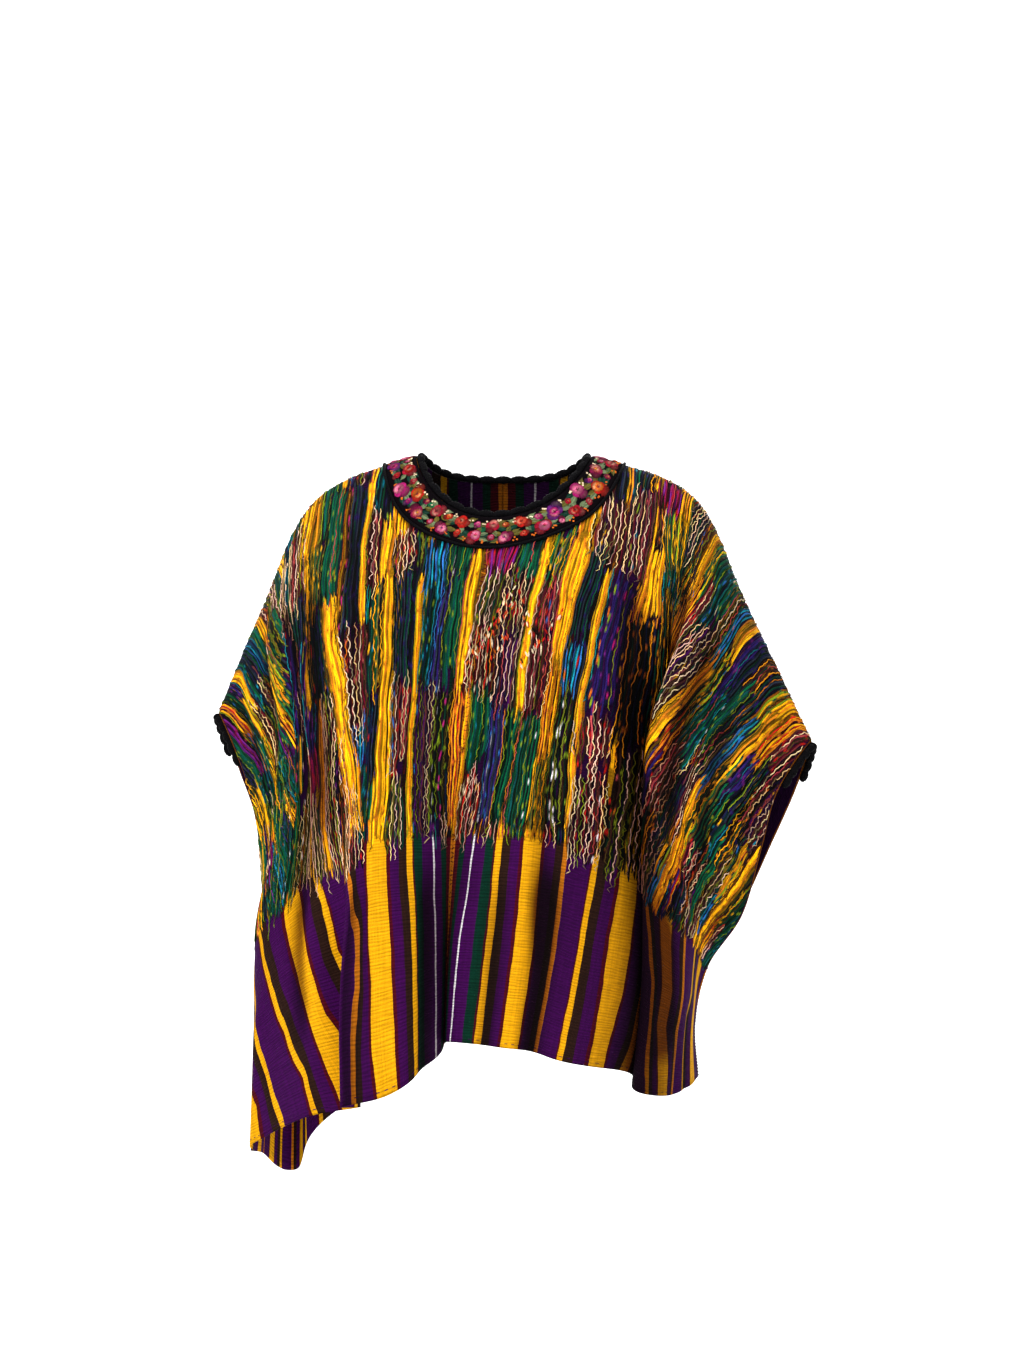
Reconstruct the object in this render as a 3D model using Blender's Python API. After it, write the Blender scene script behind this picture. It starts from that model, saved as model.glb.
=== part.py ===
"""Huipil blouse: two backstrap-woven panels joined at centre front and back, folded over the shoulders,
with a flower band round the neck and black scalloped edgings, in the hollow form it takes when worn.

X is to the wearer's left, Y to the back and Z up. The origin is where the wearer holds it up: the middle
of the neck opening, level with the tops of the shoulders. Sizes in the tables are millimetres.
"""

import math

import bmesh
import bpy
import numpy as np
from mathutils import Vector

MM = 0.001

# Driving sizes of the flat cut
HALF_WIDTH = 450.0
DROP = 640.0
NECK_RADIUS = 85.0
CLOTH = 2.0
SEAM_GAP = 0.3
SIDE_SEAM_INSET = 0.6

# Flower band, its piping and the scalloped edgings
BAND_RADIUS = 118.0
BAND_WALL = 1.2
PIPING_RADIUS = 1.5
SCALLOP_PITCH = 16.0
SCALLOP_THIN = 2.3
SCALLOP_FAT = 3.6
ARM_SCALLOP_PITCH = 13.0
ARM_TRIM_FRONT = 78.0
ARM_TRIM_BACK = 70.0
ARM_TRIM_GAP = 0.5

# Mesh fineness, counted in steps of the weave grid
NECK_STEPS = 6
BAND_STEPS = 8
COLUMNS = 30
ROWS = 22
SQUARING_STEPS = 10
SCALLOP_STEPS = 3

# Flat stations across the cloth, from the wearer's right selvage to the left one
STATIONS = (-450, -330, -200, -100, 0, 100, 200, 330, 450)

# The worn form. Each row is a section at one distance from the shoulder fold, negative down the back.
# Its nine points stand at the stations above.
SECTION_COLUMNS = (
    "right_edge", "right_side", "right_turn", "right_breast", "centre",
    "left_breast", "left_turn", "left_side", "left_edge",
)
SECTIONS = {
    -640: ((-244, 70, -690), (-222, 146, -713), (-158, 158, -642), (-92, 150, -588), (0, 152, -562),
           (92, 140, -578), (150, 132, -602), (182, 92, -615), (196, 30, -609)),
    -520: ((-238, 76, -580), (-222, 148, -586), (-165, 152, -508), (-96, 144, -464), (0, 142, -440),
           (95, 137, -460), (155, 128, -500), (186, 92, -536), (193, 32, -555)),
    -400: ((-240, 72, -486), (-230, 146, -470), (-170, 140, -386), (-98, 134, -342), (0, 130, -318),
           (98, 130, -342), (160, 122, -382), (196, 96, -446), (206, 20, -497)),
    -290: ((-246, 112, -418), (-230, 142, -374), (-172, 128, -275), (-99, 122, -232), (0, 118, -206),
           (98, 119, -232), (166, 112, -274), (208, 96, -362), (240, 40, -442)),
    -180: ((-256, 134, -350), (-228, 130, -284), (-175, 112, -168), (-100, 104, -126), (0, 100, -98),
           (100, 102, -126), (174, 98, -166), (222, 80, -278), (268, 30, -380)),
    -90: ((-272, 116, -300), (-236, 98, -205), (-181, 72, -86), (-101, 62, -40), (0, 62, -14),
          (102, 60, -40), (180, 52, -84), (236, 34, -198), (292, 2, -322)),
    0: ((-289, 78, -244), (-243, 48, -140), (-184, 10, -28), (-100, 0, 8), (0, -2, 20),
        (103, 0, 8), (186, -8, -25), (244, -30, -142), (305, -50, -272)),
    90: ((-262, 36, -302), (-236, -14, -205), (-190, -62, -98), (-107, -72, -63), (-10, -75, -56),
         (92, -76, -61), (170, -78, -94), (216, -104, -206), (269, -92, -320)),
    180: ((-248, 14, -350), (-226, -55, -278), (-187, -98, -178), (-112, -112, -140), (-24, -116, -136),
          (68, -116, -140), (150, -112, -172), (186, -138, -278), (253, -104, -375)),
    290: ((-242, 26, -412), (-228, -68, -366), (-182, -112, -280), (-119, -126, -248), (-35, -128, -246),
          (50, -130, -248), (128, -116, -276), (176, -136, -364), (236, -66, -442)),
    400: ((-240, 72, -486), (-241, -58, -452), (-183, -112, -384), (-122, -130, -352), (-46, -124, -348),
          (36, -132, -350), (118, -112, -374), (176, -104, -440), (206, 20, -497)),
    520: ((-238, 76, -580), (-247, -34, -560), (-187, -112, -504), (-119, -135, -472), (-53, -120, -462),
          (24, -134, -464), (104, -114, -490), (176, -80, -532), (193, 32, -555)),
    640: ((-244, 70, -690), (-250, -20, -674), (-180, -110, -632), (-114, -140, -616), (-58, -118, -568),
          (8, -136, -569), (84, -120, -590), (168, -84, -620), (196, 30, -609)),
}

# The folds. A fold runs from station u_top at drop `starts` to u_hem at the hem, and is fully there from
# drop `full`. It dies away from `fades` to `ends`. `valley` sets the cloth back (or forward, if negative),
# `step` sets its two sides apart in depth, and `squeeze` draws both sides over its line.
FOLD_COLUMNS = ("u_top", "u_hem", "starts", "full", "fades", "ends", "half_width", "valley", "step", "squeeze")
TO_HEM = 900
PAST_HEM = 901
FOLDS = {
    "centre_pleat": (-4, 0, 290, 560, TO_HEM, PAST_HEM, 30, 34, 0, 16),
    "right_hip_fold": (-138, -152, 330, 600, TO_HEM, PAST_HEM, 24, 0, -26, 38),
    "left_hip_trough": (142, 140, 330, 520, TO_HEM, PAST_HEM, 28, 16, 0, 10),
    "left_hip_ridge": (190, 188, 400, 600, TO_HEM, PAST_HEM, 26, -10, 0, 0),
    "left_armpit_valley": (226, 262, 70, 260, TO_HEM, PAST_HEM, 42, 52, -26, 34),
    "left_hip_flute": (345, 345, 420, 600, TO_HEM, PAST_HEM, 24, 20, 0, 8),
    "right_armpit_valley": (-222, -196, 60, 220, 340, 500, 36, 26, 0, 14),
    "right_hip_flute": (-262, -270, 430, 600, TO_HEM, PAST_HEM, 30, 10, 0, 0),
    "right_sleeve_trough": (-318, -330, 20, 130, 260, 400, 30, 16, 0, 8),
    "left_sleeve_trough": (338, 330, 30, 140, 300, 420, 26, 16, 0, 8),
    "left_sleeve_ridge": (392, 392, 20, 120, 260, 380, 26, -10, 0, 0),
    "left_chest_trough": (118, 60, 120, 230, 300, 420, 26, 8, 0, 4),
    "right_chest_trough": (-60, -52, 150, 260, 330, 460, 24, 7, 0, 4),
    "back_right_flute": (-270, -290, -200, -480, -TO_HEM, -PAST_HEM, 44, -26, 0, 16),
    "back_mid_right_flute": (-140, -150, -240, -520, -TO_HEM, -PAST_HEM, 40, -24, 0, 14),
    "back_centre_flute": (10, 5, -180, -460, -TO_HEM, -PAST_HEM, 42, -22, 0, 12),
    "back_mid_left_flute": (150, 160, -240, -520, -TO_HEM, -PAST_HEM, 40, -24, 0, 14),
    "back_left_flute": (285, 300, -200, -480, -TO_HEM, -PAST_HEM, 44, -20, 0, 12),
}

# Slopes of the section table, for a smooth surface through its points
ACROSS = np.array(STATIONS, float)
DROPS = np.array(tuple(SECTIONS), float)
FORM = np.array(tuple(SECTIONS.values()), float)
FORM_ACROSS = np.gradient(FORM, ACROSS, axis=1)
FORM_DOWN = np.gradient(FORM, DROPS, axis=0)
FORM_BOTH = np.gradient(FORM_ACROSS, DROPS, axis=0)


def clear_scene():
    for obj in list(bpy.data.objects):
        bpy.data.objects.remove(obj, do_unlink=True)


def smooth(t):
    t = min(max(t, 0.0), 1.0)
    return t * t * (3 - 2 * t)


def cubic(t, span):
    """Hermite weights of the low value, low slope, high value and high slope."""
    return (
        2 * t**3 - 3 * t**2 + 1,
        (t**3 - 2 * t**2 + t) * span,
        3 * t**2 - 2 * t**3,
        (t**3 - t**2) * span,
    )


def cell_of(knots, at):
    """Index of the stretch of knots that holds `at`, how far along it is, and the stretch's length."""
    i = int(min(max(np.searchsorted(knots, at, side="right") - 1, 0), len(knots) - 2))
    span = knots[i + 1] - knots[i]
    return i, (at - knots[i]) / span, span


def draped(u, v):
    """The smooth worn form at flat place (u, v), before its folds."""
    i, tu, span_u = cell_of(ACROSS, u)
    j, tv, span_v = cell_of(DROPS, v)
    across, down = cubic(tu, span_u), cubic(tv, span_v)
    point = np.zeros(3)
    for dj in (0, 1):
        for di in (0, 1):
            at = (j + dj, i + di)
            point += down[2 * dj] * across[2 * di] * FORM[at]
            point += down[2 * dj] * across[2 * di + 1] * FORM_ACROSS[at]
            point += down[2 * dj + 1] * across[2 * di] * FORM_DOWN[at]
            point += down[2 * dj + 1] * across[2 * di + 1] * FORM_BOTH[at]
    return point


def cloth(u, v):
    """The middle of the cloth at flat place (u, v), in metres."""
    point = draped(u, v)
    for row in FOLDS.values():
        fold = dict(zip(FOLD_COLUMNS, row))
        hem = math.copysign(DROP, fold["full"])
        there = smooth((v - fold["starts"]) / (fold["full"] - fold["starts"]))
        there *= 1 - smooth((v - fold["fades"]) / (fold["ends"] - fold["fades"]))
        along = min(max((v - fold["starts"]) / (hem - fold["starts"]), 0.0), 1.0)
        line = fold["u_top"] + (fold["u_hem"] - fold["u_top"]) * along
        off = (u - line) / fold["half_width"]
        bell = there * math.exp(-off * off / 2)
        point[1] += bell * (fold["valley"] + fold["step"] * off)
        point[0] -= bell * off * fold["squeeze"]
    return Vector(point * MM)


def outward(u, v):
    """The cloth's outward normal at flat place (u, v)."""
    step = 1.0
    across = cloth(u + step, v) - cloth(u - step, v)
    down = cloth(u, v + step) - cloth(u, v - step)
    return down.cross(across).normalized()


def leftward(u, v):
    """The way across the cloth toward the wearer's left at flat place (u, v)."""
    return (cloth(u + 8, v) - cloth(u - 8, v)).normalized()


def material(name, colour, roughness):
    made = bpy.data.materials.new(name)
    made.use_nodes = True
    shader = made.node_tree.nodes["Principled BSDF"]
    shader.inputs["Base Color"].default_value = (*colour, 1.0)
    shader.inputs["Roughness"].default_value = roughness
    shader.inputs["Metallic"].default_value = 0.0
    return made


def flat_place(column, row):
    """Flat (u, v) of a grid corner. Columns count from the join, rows from the shoulder fold to the hem.

    Square rings of the grid lie as circles round the neck hole out to the band's edge. Past it they
    square up by steps into straight warp columns and weft rows.
    """
    ring = max(abs(column), abs(row))
    radius = NECK_RADIUS + (BAND_RADIUS - NECK_RADIUS) * (ring - NECK_STEPS) / (BAND_STEPS - NECK_STEPS)
    if abs(column) <= abs(row):
        turn = math.pi / 4 * column / abs(row)
        turn = turn if row > 0 else math.pi - turn
    else:
        turn = math.copysign(math.pi / 2 - math.pi / 4 * row / abs(column), column)
    below = max(abs(row) - BAND_STEPS, 0)
    straight_u = (HALF_WIDTH - SIDE_SEAM_INSET) * column / COLUMNS
    straight_v = BAND_RADIUS * (abs(row) - below) / BAND_STEPS + (DROP - BAND_RADIUS) * below / (ROWS - BAND_STEPS)
    share = smooth((ring - BAND_STEPS) / SQUARING_STEPS)
    u = (1 - share) * radius * math.sin(turn) + share * straight_u
    v = (1 - share) * radius * math.cos(turn) + share * math.copysign(straight_v, row)
    return u, v


def sheet(name, side, columns, rows, lift, wall, collection, finish):
    """A wall of cloth over the grid columns 0 or -n to n and rows -n to n, with the neck hole left open.

    The middle of the wall stands `lift` outside the middle of the woven cloth.
    """
    first = 0 if side else -columns
    wide, high = columns - first, 2 * rows
    bm = bmesh.new()
    bmesh.ops.create_grid(bm, x_segments=wide, y_segments=high, size=1.0)
    def corner(vert):
        column = first + round((vert.co.x + 1) / 2 * wide)
        row = round((vert.co.y + 1) / 2 * high) - rows
        return column, row

    def in_hole(vert):
        return max(abs(step) for step in corner(vert)) <= NECK_STEPS

    hole = [face for face in bm.faces if all(in_hole(vert) for vert in face.verts)]
    bmesh.ops.delete(bm, geom=hole, context="FACES")
    second = bmesh.ops.extrude_face_region(bm, geom=list(bm.faces), use_keep_orig=True)["geom"]
    outer = {item for item in second if isinstance(item, bmesh.types.BMVert)}
    for vert in bm.verts:
        column, row = corner(vert)
        u, v = flat_place(side * column if side else column, row)
        half = wall / 2 if vert in outer else -wall / 2
        at_join = side * SEAM_GAP / 2 if column == 0 else 0.0
        vert.co = cloth(u, v) + (outward(u, v) * (lift + half) + leftward(u, v) * at_join) * MM
    bmesh.ops.recalc_face_normals(bm, faces=list(bm.faces))
    mesh = bpy.data.meshes.new(name)
    bm.to_mesh(mesh)
    bm.free()
    obj = bpy.data.objects.new(name, mesh)
    collection.objects.link(obj)
    mesh.materials.append(finish)
    mesh.shade_smooth()
    return obj


def on_ring(radius, angle, lift):
    """A point at a radius and angle round the neck, `lift` outside the middle of the woven cloth."""
    u, v = radius * math.sin(angle), radius * math.cos(angle)
    return cloth(u, v) + outward(u, v) * lift * MM


def cord(name, points, widths, closed, collection, finish):
    """A round edging along points, with its own half width at each point, in millimetres."""
    curve = bpy.data.curves.new(name, "CURVE")
    curve.dimensions = "3D"
    curve.bevel_depth = MM
    curve.bevel_resolution = 1
    curve.use_fill_caps = not closed
    spline = curve.splines.new("POLY")
    spline.points.add(len(points) - 1)
    spline.use_cyclic_u = closed
    for knot, point, width in zip(spline.points, points, widths):
        knot.co = (*point, 1.0)
        knot.radius = width
    curve.materials.append(finish)
    obj = bpy.data.objects.new(name, curve)
    collection.objects.link(obj)
    return obj


def scallop(step):
    """Half width of a scalloped edging at a step along it."""
    full = abs(math.sin(math.pi * (step % SCALLOP_STEPS) / SCALLOP_STEPS)) ** 0.6
    return SCALLOP_THIN + (SCALLOP_FAT - SCALLOP_THIN) * full


def band_piping(collection, finish):
    """The thin black piping along the outer edge of the flower band."""
    count = 8 * BAND_STEPS
    radius = BAND_RADIUS + SEAM_GAP + PIPING_RADIUS
    lift = CLOTH / 2 + SEAM_GAP + PIPING_RADIUS
    points = [on_ring(radius, math.tau * n / count, lift) for n in range(count)]
    return cord("band_piping", points, [PIPING_RADIUS] * count, True, collection, finish)


def neck_scallops(collection, finish):
    """The black scalloped edging that lines the neck opening inside the flower band."""
    outer = NECK_RADIUS * math.cos(math.pi / (8 * NECK_STEPS)) - SEAM_GAP
    count = round(math.tau * outer / SCALLOP_PITCH) * SCALLOP_STEPS
    widths = [scallop(n) for n in range(count)]
    points = [on_ring(outer - widths[n], math.tau * n / count, CLOTH / 2) for n in range(count)]
    return cord("neck_scallops", points, widths, True, collection, finish)


def selvage(side, v):
    """The panel's own edge at drop v, and the way square out from it in the plane of the cloth."""
    rows = [flat_place(COLUMNS, row)[1] for row in range(-ROWS, ROWS + 1)]
    last, before = (side * flat_place(column, 0)[0] for column in (COLUMNS, COLUMNS - 1))
    row = next(n for n in range(2 * ROWS) if rows[n] <= v <= rows[n + 1])
    share = (v - rows[row]) / (rows[row + 1] - rows[row])
    above, below = cloth(last, rows[row]), cloth(last, rows[row + 1])
    at = above.lerp(below, share)
    out = at - cloth(before, rows[row]).lerp(cloth(before, rows[row + 1]), share)
    along = (below - above).normalized()
    return at, (out - along * out.dot(along)).normalized()


def arm_trim(name, side, collection, finish):
    """The black scalloped edging round the outer fold of a sleeve opening."""
    length = ARM_TRIM_FRONT + ARM_TRIM_BACK
    count = round(length / ARM_SCALLOP_PITCH) * SCALLOP_STEPS
    points, widths = [], []
    for n in range(count + 1):
        at, away = selvage(side, length * n / count - ARM_TRIM_BACK)
        widths.append(scallop(n))
        points.append(at + away * (widths[-1] + ARM_TRIM_GAP) * MM)
    return cord(name, points, widths, False, collection, finish)


def main():
    clear_scene()
    blouse = bpy.data.collections.new("huipil_blouse")
    bpy.context.scene.collection.children.link(blouse)
    woven = material("woven_cotton", (0.17, 0.03, 0.22), 0.85)
    flowers = material("flower_band", (0.45, 0.06, 0.10), 0.7)
    black = material("black_edging", (0.01, 0.01, 0.012), 0.75)
    sheet("panel_right", -1, COLUMNS, ROWS, 0.0, CLOTH, blouse, woven)
    sheet("panel_left", 1, COLUMNS, ROWS, 0.0, CLOTH, blouse, woven)
    band_lift = CLOTH / 2 + SEAM_GAP + BAND_WALL / 2
    sheet("neck_band", 0, BAND_STEPS, BAND_STEPS, band_lift, BAND_WALL, blouse, flowers)
    band_piping(blouse, black)
    neck_scallops(blouse, black)
    arm_trim("arm_trim_right", -1, blouse, black)
    arm_trim("arm_trim_left", 1, blouse, black)


main()
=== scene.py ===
"""Looks of a huipil blouse: two backstrap-woven panels with brocade, a flower band and black edgings."""

import math

import bmesh
import bpy
import numpy as np
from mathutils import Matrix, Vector


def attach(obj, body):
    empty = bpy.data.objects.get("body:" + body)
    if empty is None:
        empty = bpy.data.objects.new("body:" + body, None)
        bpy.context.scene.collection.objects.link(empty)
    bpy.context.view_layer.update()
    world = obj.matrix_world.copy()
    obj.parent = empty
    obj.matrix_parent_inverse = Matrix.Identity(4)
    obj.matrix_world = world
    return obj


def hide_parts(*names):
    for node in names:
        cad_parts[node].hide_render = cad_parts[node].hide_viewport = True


bl_info = {
    "name": "Huipil Blouse",
    "version": (1, 0, 0),
    "blender": (4, 5, 0),
    "location": "View3D > Sidebar > Huipil",
    "description": "Dresses the woven blouse: striped cloth, brocade threads, flower band and edgings",
    "category": "Object",
}

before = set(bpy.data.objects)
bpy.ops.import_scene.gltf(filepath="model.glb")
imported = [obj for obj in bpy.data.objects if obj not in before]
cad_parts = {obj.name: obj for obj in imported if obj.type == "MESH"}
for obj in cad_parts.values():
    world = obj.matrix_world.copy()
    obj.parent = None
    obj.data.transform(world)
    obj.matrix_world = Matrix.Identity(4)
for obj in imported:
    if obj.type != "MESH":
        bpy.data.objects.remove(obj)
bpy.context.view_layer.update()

# Sizes of the flat cut and its edgings, in millimetres, as in the part's source
HALF_WIDTH = 450.0
DROP = 640.0
NECK_RADIUS = 85.0
BAND_RADIUS = 118.0
SEAM_GAP = 0.3
SIDE_SEAM_INSET = 0.6
CLOTH = 2.0
BAND_WALL = 1.2
PIPING_RADIUS = 1.5
ARM_SCALLOP_PITCH = 13.0
ARM_TRIM_FRONT = 78.0
ARM_TRIM_BACK = 70.0
ARM_TRIM_GAP = 0.5

# Steps of the weave grid, as in the part's source
NECK_STEPS = 6
BAND_STEPS = 8
COLUMNS = 30
ROWS = 22
SQUARING_STEPS = 10

# Flat stations across the cloth, from the wearer's right selvage to the left one
STATIONS = (-450, -330, -200, -100, 0, 100, 200, 330, 450)

# The worn form, as in the part's source. Each row is a section at one distance from the shoulder fold,
# negative down the back. Its nine points stand at the stations above.
SECTIONS = {
    -640: ((-244, 70, -690), (-222, 146, -713), (-158, 158, -642), (-92, 150, -588), (0, 152, -562),
           (92, 140, -578), (150, 132, -602), (182, 92, -615), (196, 30, -609)),
    -520: ((-238, 76, -580), (-222, 148, -586), (-165, 152, -508), (-96, 144, -464), (0, 142, -440),
           (95, 137, -460), (155, 128, -500), (186, 92, -536), (193, 32, -555)),
    -400: ((-240, 72, -486), (-230, 146, -470), (-170, 140, -386), (-98, 134, -342), (0, 130, -318),
           (98, 130, -342), (160, 122, -382), (196, 96, -446), (206, 20, -497)),
    -290: ((-246, 112, -418), (-230, 142, -374), (-172, 128, -275), (-99, 122, -232), (0, 118, -206),
           (98, 119, -232), (166, 112, -274), (208, 96, -362), (240, 40, -442)),
    -180: ((-256, 134, -350), (-228, 130, -284), (-175, 112, -168), (-100, 104, -126), (0, 100, -98),
           (100, 102, -126), (174, 98, -166), (222, 80, -278), (268, 30, -380)),
    -90: ((-272, 116, -300), (-236, 98, -205), (-181, 72, -86), (-101, 62, -40), (0, 62, -14),
          (102, 60, -40), (180, 52, -84), (236, 34, -198), (292, 2, -322)),
    0: ((-289, 78, -244), (-243, 48, -140), (-184, 10, -28), (-100, 0, 8), (0, -2, 20),
        (103, 0, 8), (186, -8, -25), (244, -30, -142), (305, -50, -272)),
    90: ((-262, 36, -302), (-236, -14, -205), (-190, -62, -98), (-107, -72, -63), (-10, -75, -56),
         (92, -76, -61), (170, -78, -94), (216, -104, -206), (269, -92, -320)),
    180: ((-248, 14, -350), (-226, -55, -278), (-187, -98, -178), (-112, -112, -140), (-24, -116, -136),
          (68, -116, -140), (150, -112, -172), (186, -138, -278), (253, -104, -375)),
    290: ((-242, 26, -412), (-228, -68, -366), (-182, -112, -280), (-119, -126, -248), (-35, -128, -246),
          (50, -130, -248), (128, -116, -276), (176, -136, -364), (236, -66, -442)),
    400: ((-240, 72, -486), (-241, -58, -452), (-183, -112, -384), (-122, -130, -352), (-46, -124, -348),
          (36, -132, -350), (118, -112, -374), (176, -104, -440), (206, 20, -497)),
    520: ((-238, 76, -580), (-247, -34, -560), (-187, -112, -504), (-119, -135, -472), (-53, -120, -462),
          (24, -134, -464), (104, -114, -490), (176, -80, -532), (193, 32, -555)),
    640: ((-244, 70, -690), (-250, -20, -674), (-180, -110, -632), (-114, -140, -616), (-58, -118, -568),
          (8, -136, -569), (84, -120, -590), (168, -84, -620), (196, 30, -609)),
}

# The folds. A fold runs from station u_top at drop `starts` to u_hem at the hem, and is fully there from
# drop `full`. It dies away from `fades` to `ends`. `valley` sets the cloth back (or forward, if negative),
# `step` sets its two sides apart in depth, and `squeeze` draws both sides over its line.
FOLD_COLUMNS = ("u_top", "u_hem", "starts", "full", "fades", "ends", "half_width", "valley", "step", "squeeze")
TO_HEM = 900
PAST_HEM = 901
FOLDS = {
    "centre_pleat": (-4, 0, 290, 560, TO_HEM, PAST_HEM, 30, 34, 0, 16),
    "right_hip_fold": (-138, -152, 330, 600, TO_HEM, PAST_HEM, 24, 0, -26, 38),
    "left_hip_trough": (142, 140, 330, 520, TO_HEM, PAST_HEM, 28, 16, 0, 10),
    "left_hip_ridge": (190, 188, 400, 600, TO_HEM, PAST_HEM, 26, -10, 0, 0),
    "left_armpit_valley": (226, 262, 70, 260, TO_HEM, PAST_HEM, 42, 52, -26, 34),
    "left_hip_flute": (345, 345, 420, 600, TO_HEM, PAST_HEM, 24, 20, 0, 8),
    "right_armpit_valley": (-222, -196, 60, 220, 340, 500, 36, 26, 0, 14),
    "right_hip_flute": (-262, -270, 430, 600, TO_HEM, PAST_HEM, 30, 10, 0, 0),
    "right_sleeve_trough": (-318, -330, 20, 130, 260, 400, 30, 16, 0, 8),
    "left_sleeve_trough": (338, 330, 30, 140, 300, 420, 26, 16, 0, 8),
    "left_sleeve_ridge": (392, 392, 20, 120, 260, 380, 26, -10, 0, 0),
    "left_chest_trough": (118, 60, 120, 230, 300, 420, 26, 8, 0, 4),
    "right_chest_trough": (-60, -52, 150, 260, 330, 460, 24, 7, 0, 4),
    "back_right_flute": (-270, -290, -200, -480, -TO_HEM, -PAST_HEM, 44, -26, 0, 16),
    "back_mid_right_flute": (-140, -150, -240, -520, -TO_HEM, -PAST_HEM, 40, -24, 0, 14),
    "back_centre_flute": (10, 5, -180, -460, -TO_HEM, -PAST_HEM, 42, -22, 0, 12),
    "back_mid_left_flute": (150, 160, -240, -520, -TO_HEM, -PAST_HEM, 40, -24, 0, 14),
    "back_left_flute": (285, 300, -200, -480, -TO_HEM, -PAST_HEM, 44, -20, 0, 12),
}

# Soft creases laid on the worn form: from (u0, v0) to (u1, v1), with a half width and a depth in
# millimetres. A positive depth is a ridge, a negative one a trough. CREASE_GAIN makes them all a little higher.
CREASE_GAIN = 1.35
CREASE_COLUMNS = ("u0", "v0", "u1", "v1", "half_width", "depth")
CREASES = (
    (-150, 40, -128, 250, 9, -2.6), (-132, 60, -112, 300, 8, 2.2), (-176, 60, -150, 300, 10, 2.8),
    (-200, 80, -170, 420, 9, -3.4), (-240, 70, -190, 330, 12, 3.6), (-262, 60, -215, 300, 9, -3.4),
    (-300, 30, -262, 260, 11, 3.4), (-345, 30, -300, 240, 9, -3.0), (-385, 20, -345, 220, 10, 3.0),
    (-420, 20, -390, 180, 8, -2.4), (-235, 380, -215, 600, 12, -3.2), (-205, 420, -190, 640, 9, 2.4),
    (-118, 420, -122, 640, 9, -3.2), (-70, 470, -72, 640, 10, 2.2), (-40, 420, -46, 640, 8, -2.6),
    (30, 470, 34, 640, 10, 2.4), (62, 430, 66, 640, 9, -2.4), (96, 300, 108, 560, 10, -2.0),
    (120, 150, 150, 420, 11, 2.6), (150, 110, 176, 330, 9, -3.0), (176, 90, 205, 300, 9, 2.6),
    (215, 60, 255, 260, 9, -3.6), (250, 50, 290, 300, 11, 3.4), (292, 40, 318, 330, 9, -3.2),
    (330, 110, 350, 400, 10, 3.2), (365, 60, 372, 330, 9, -2.8), (404, 60, 408, 300, 9, 2.6),
    (112, 420, 116, 640, 12, -3.8), (318, 370, 322, 610, 15, -4.4), (388, 480, 392, 640, 9, -2.4),
    (-300, 470, -318, 640, 10, 2.8), (-352, 460, -360, 640, 10, -2.8), (-395, 440, -398, 640, 9, 2.2),
    (-120, -90, -128, -420, 10, -2.4), (-60, -130, -66, -640, 11, 2.4), (60, -140, 66, -640, 10, -2.4),
    (110, -90, 118, -460, 10, 2.4), (-210, -80, -196, -420, 10, 3.0), (210, -80, 204, -420, 10, -3.0),
    (-330, -60, -300, -360, 10, -2.8), (330, -60, 318, -360, 10, 2.8), (-200, -430, -206, -640, 10, -2.6),
    (230, -430, 236, -640, 10, 2.6), (-345, -420, -350, -640, 10, 2.6), (350, -420, 356, -640, 10, -2.6),
)

# Yarns of the cloth, the brocade and the embroidery, in linear colours
YARNS = {
    "violet": (0.043, 0.0015, 0.064), "deep_violet": (0.014, 0.001, 0.022), "gold": (0.86, 0.39, 0.003),
    "amber": (0.58, 0.17, 0.006), "orange": (0.66, 0.13, 0.010), "wine": (0.070, 0.002, 0.008),
    "scarlet": (0.48, 0.010, 0.006), "brown": (0.022, 0.008, 0.005), "umber": (0.034, 0.009, 0.007),
    "green": (0.001, 0.072, 0.026), "deep_green": (0.001, 0.026, 0.014), "lime": (0.17, 0.25, 0.008),
    "olive": (0.085, 0.070, 0.010), "teal": (0.002, 0.046, 0.046), "turquoise": (0.005, 0.18, 0.26),
    "navy": (0.004, 0.007, 0.024), "slate": (0.013, 0.019, 0.030), "indigo": (0.016, 0.007, 0.080),
    "mauve": (0.095, 0.020, 0.022), "rose": (0.40, 0.055, 0.060), "magenta": (0.22, 0.004, 0.050),
    "fuchsia": (0.42, 0.010, 0.14), "pink": (0.60, 0.10, 0.22), "coral": (0.62, 0.055, 0.025),
    "plum": (0.12, 0.010, 0.15), "cream": (0.88, 0.68, 0.44), "white": (0.82, 0.78, 0.80),
    "black": (0.001, 0.001, 0.001), "sky": (0.020, 0.12, 0.38), "crimson": (0.36, 0.004, 0.024),
    "sage": (0.11, 0.15, 0.070),
}

# Warp stripes from the centre join to the selvage: yarn and width in millimetres
STRIPES = (
    ("amber", 4), ("wine", 8), ("deep_green", 8), ("violet", 10), ("white", 1.6), ("violet", 12.4),
    ("deep_green", 9), ("wine", 2), ("gold", 6), ("brown", 9), ("violet", 10), ("wine", 3),
    ("gold", 20), ("wine", 3), ("violet", 12), ("brown", 8), ("amber", 5), ("violet", 28), ("wine", 2),
    ("gold", 6), ("brown", 9), ("violet", 10), ("wine", 3), ("gold", 20), ("wine", 3), ("violet", 16),
    ("brown", 9), ("gold", 5), ("wine", 3), ("violet", 25), ("gold", 5), ("brown", 8), ("violet", 10),
    ("wine", 3), ("gold", 20), ("wine", 3), ("violet", 12), ("brown", 8), ("amber", 5), ("violet", 28),
    ("wine", 2), ("gold", 6), ("brown", 9), ("violet", 10), ("wine", 3), ("gold", 20), ("wine", 3),
    ("violet", 22.5), ("amber", 2.5),
)

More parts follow.
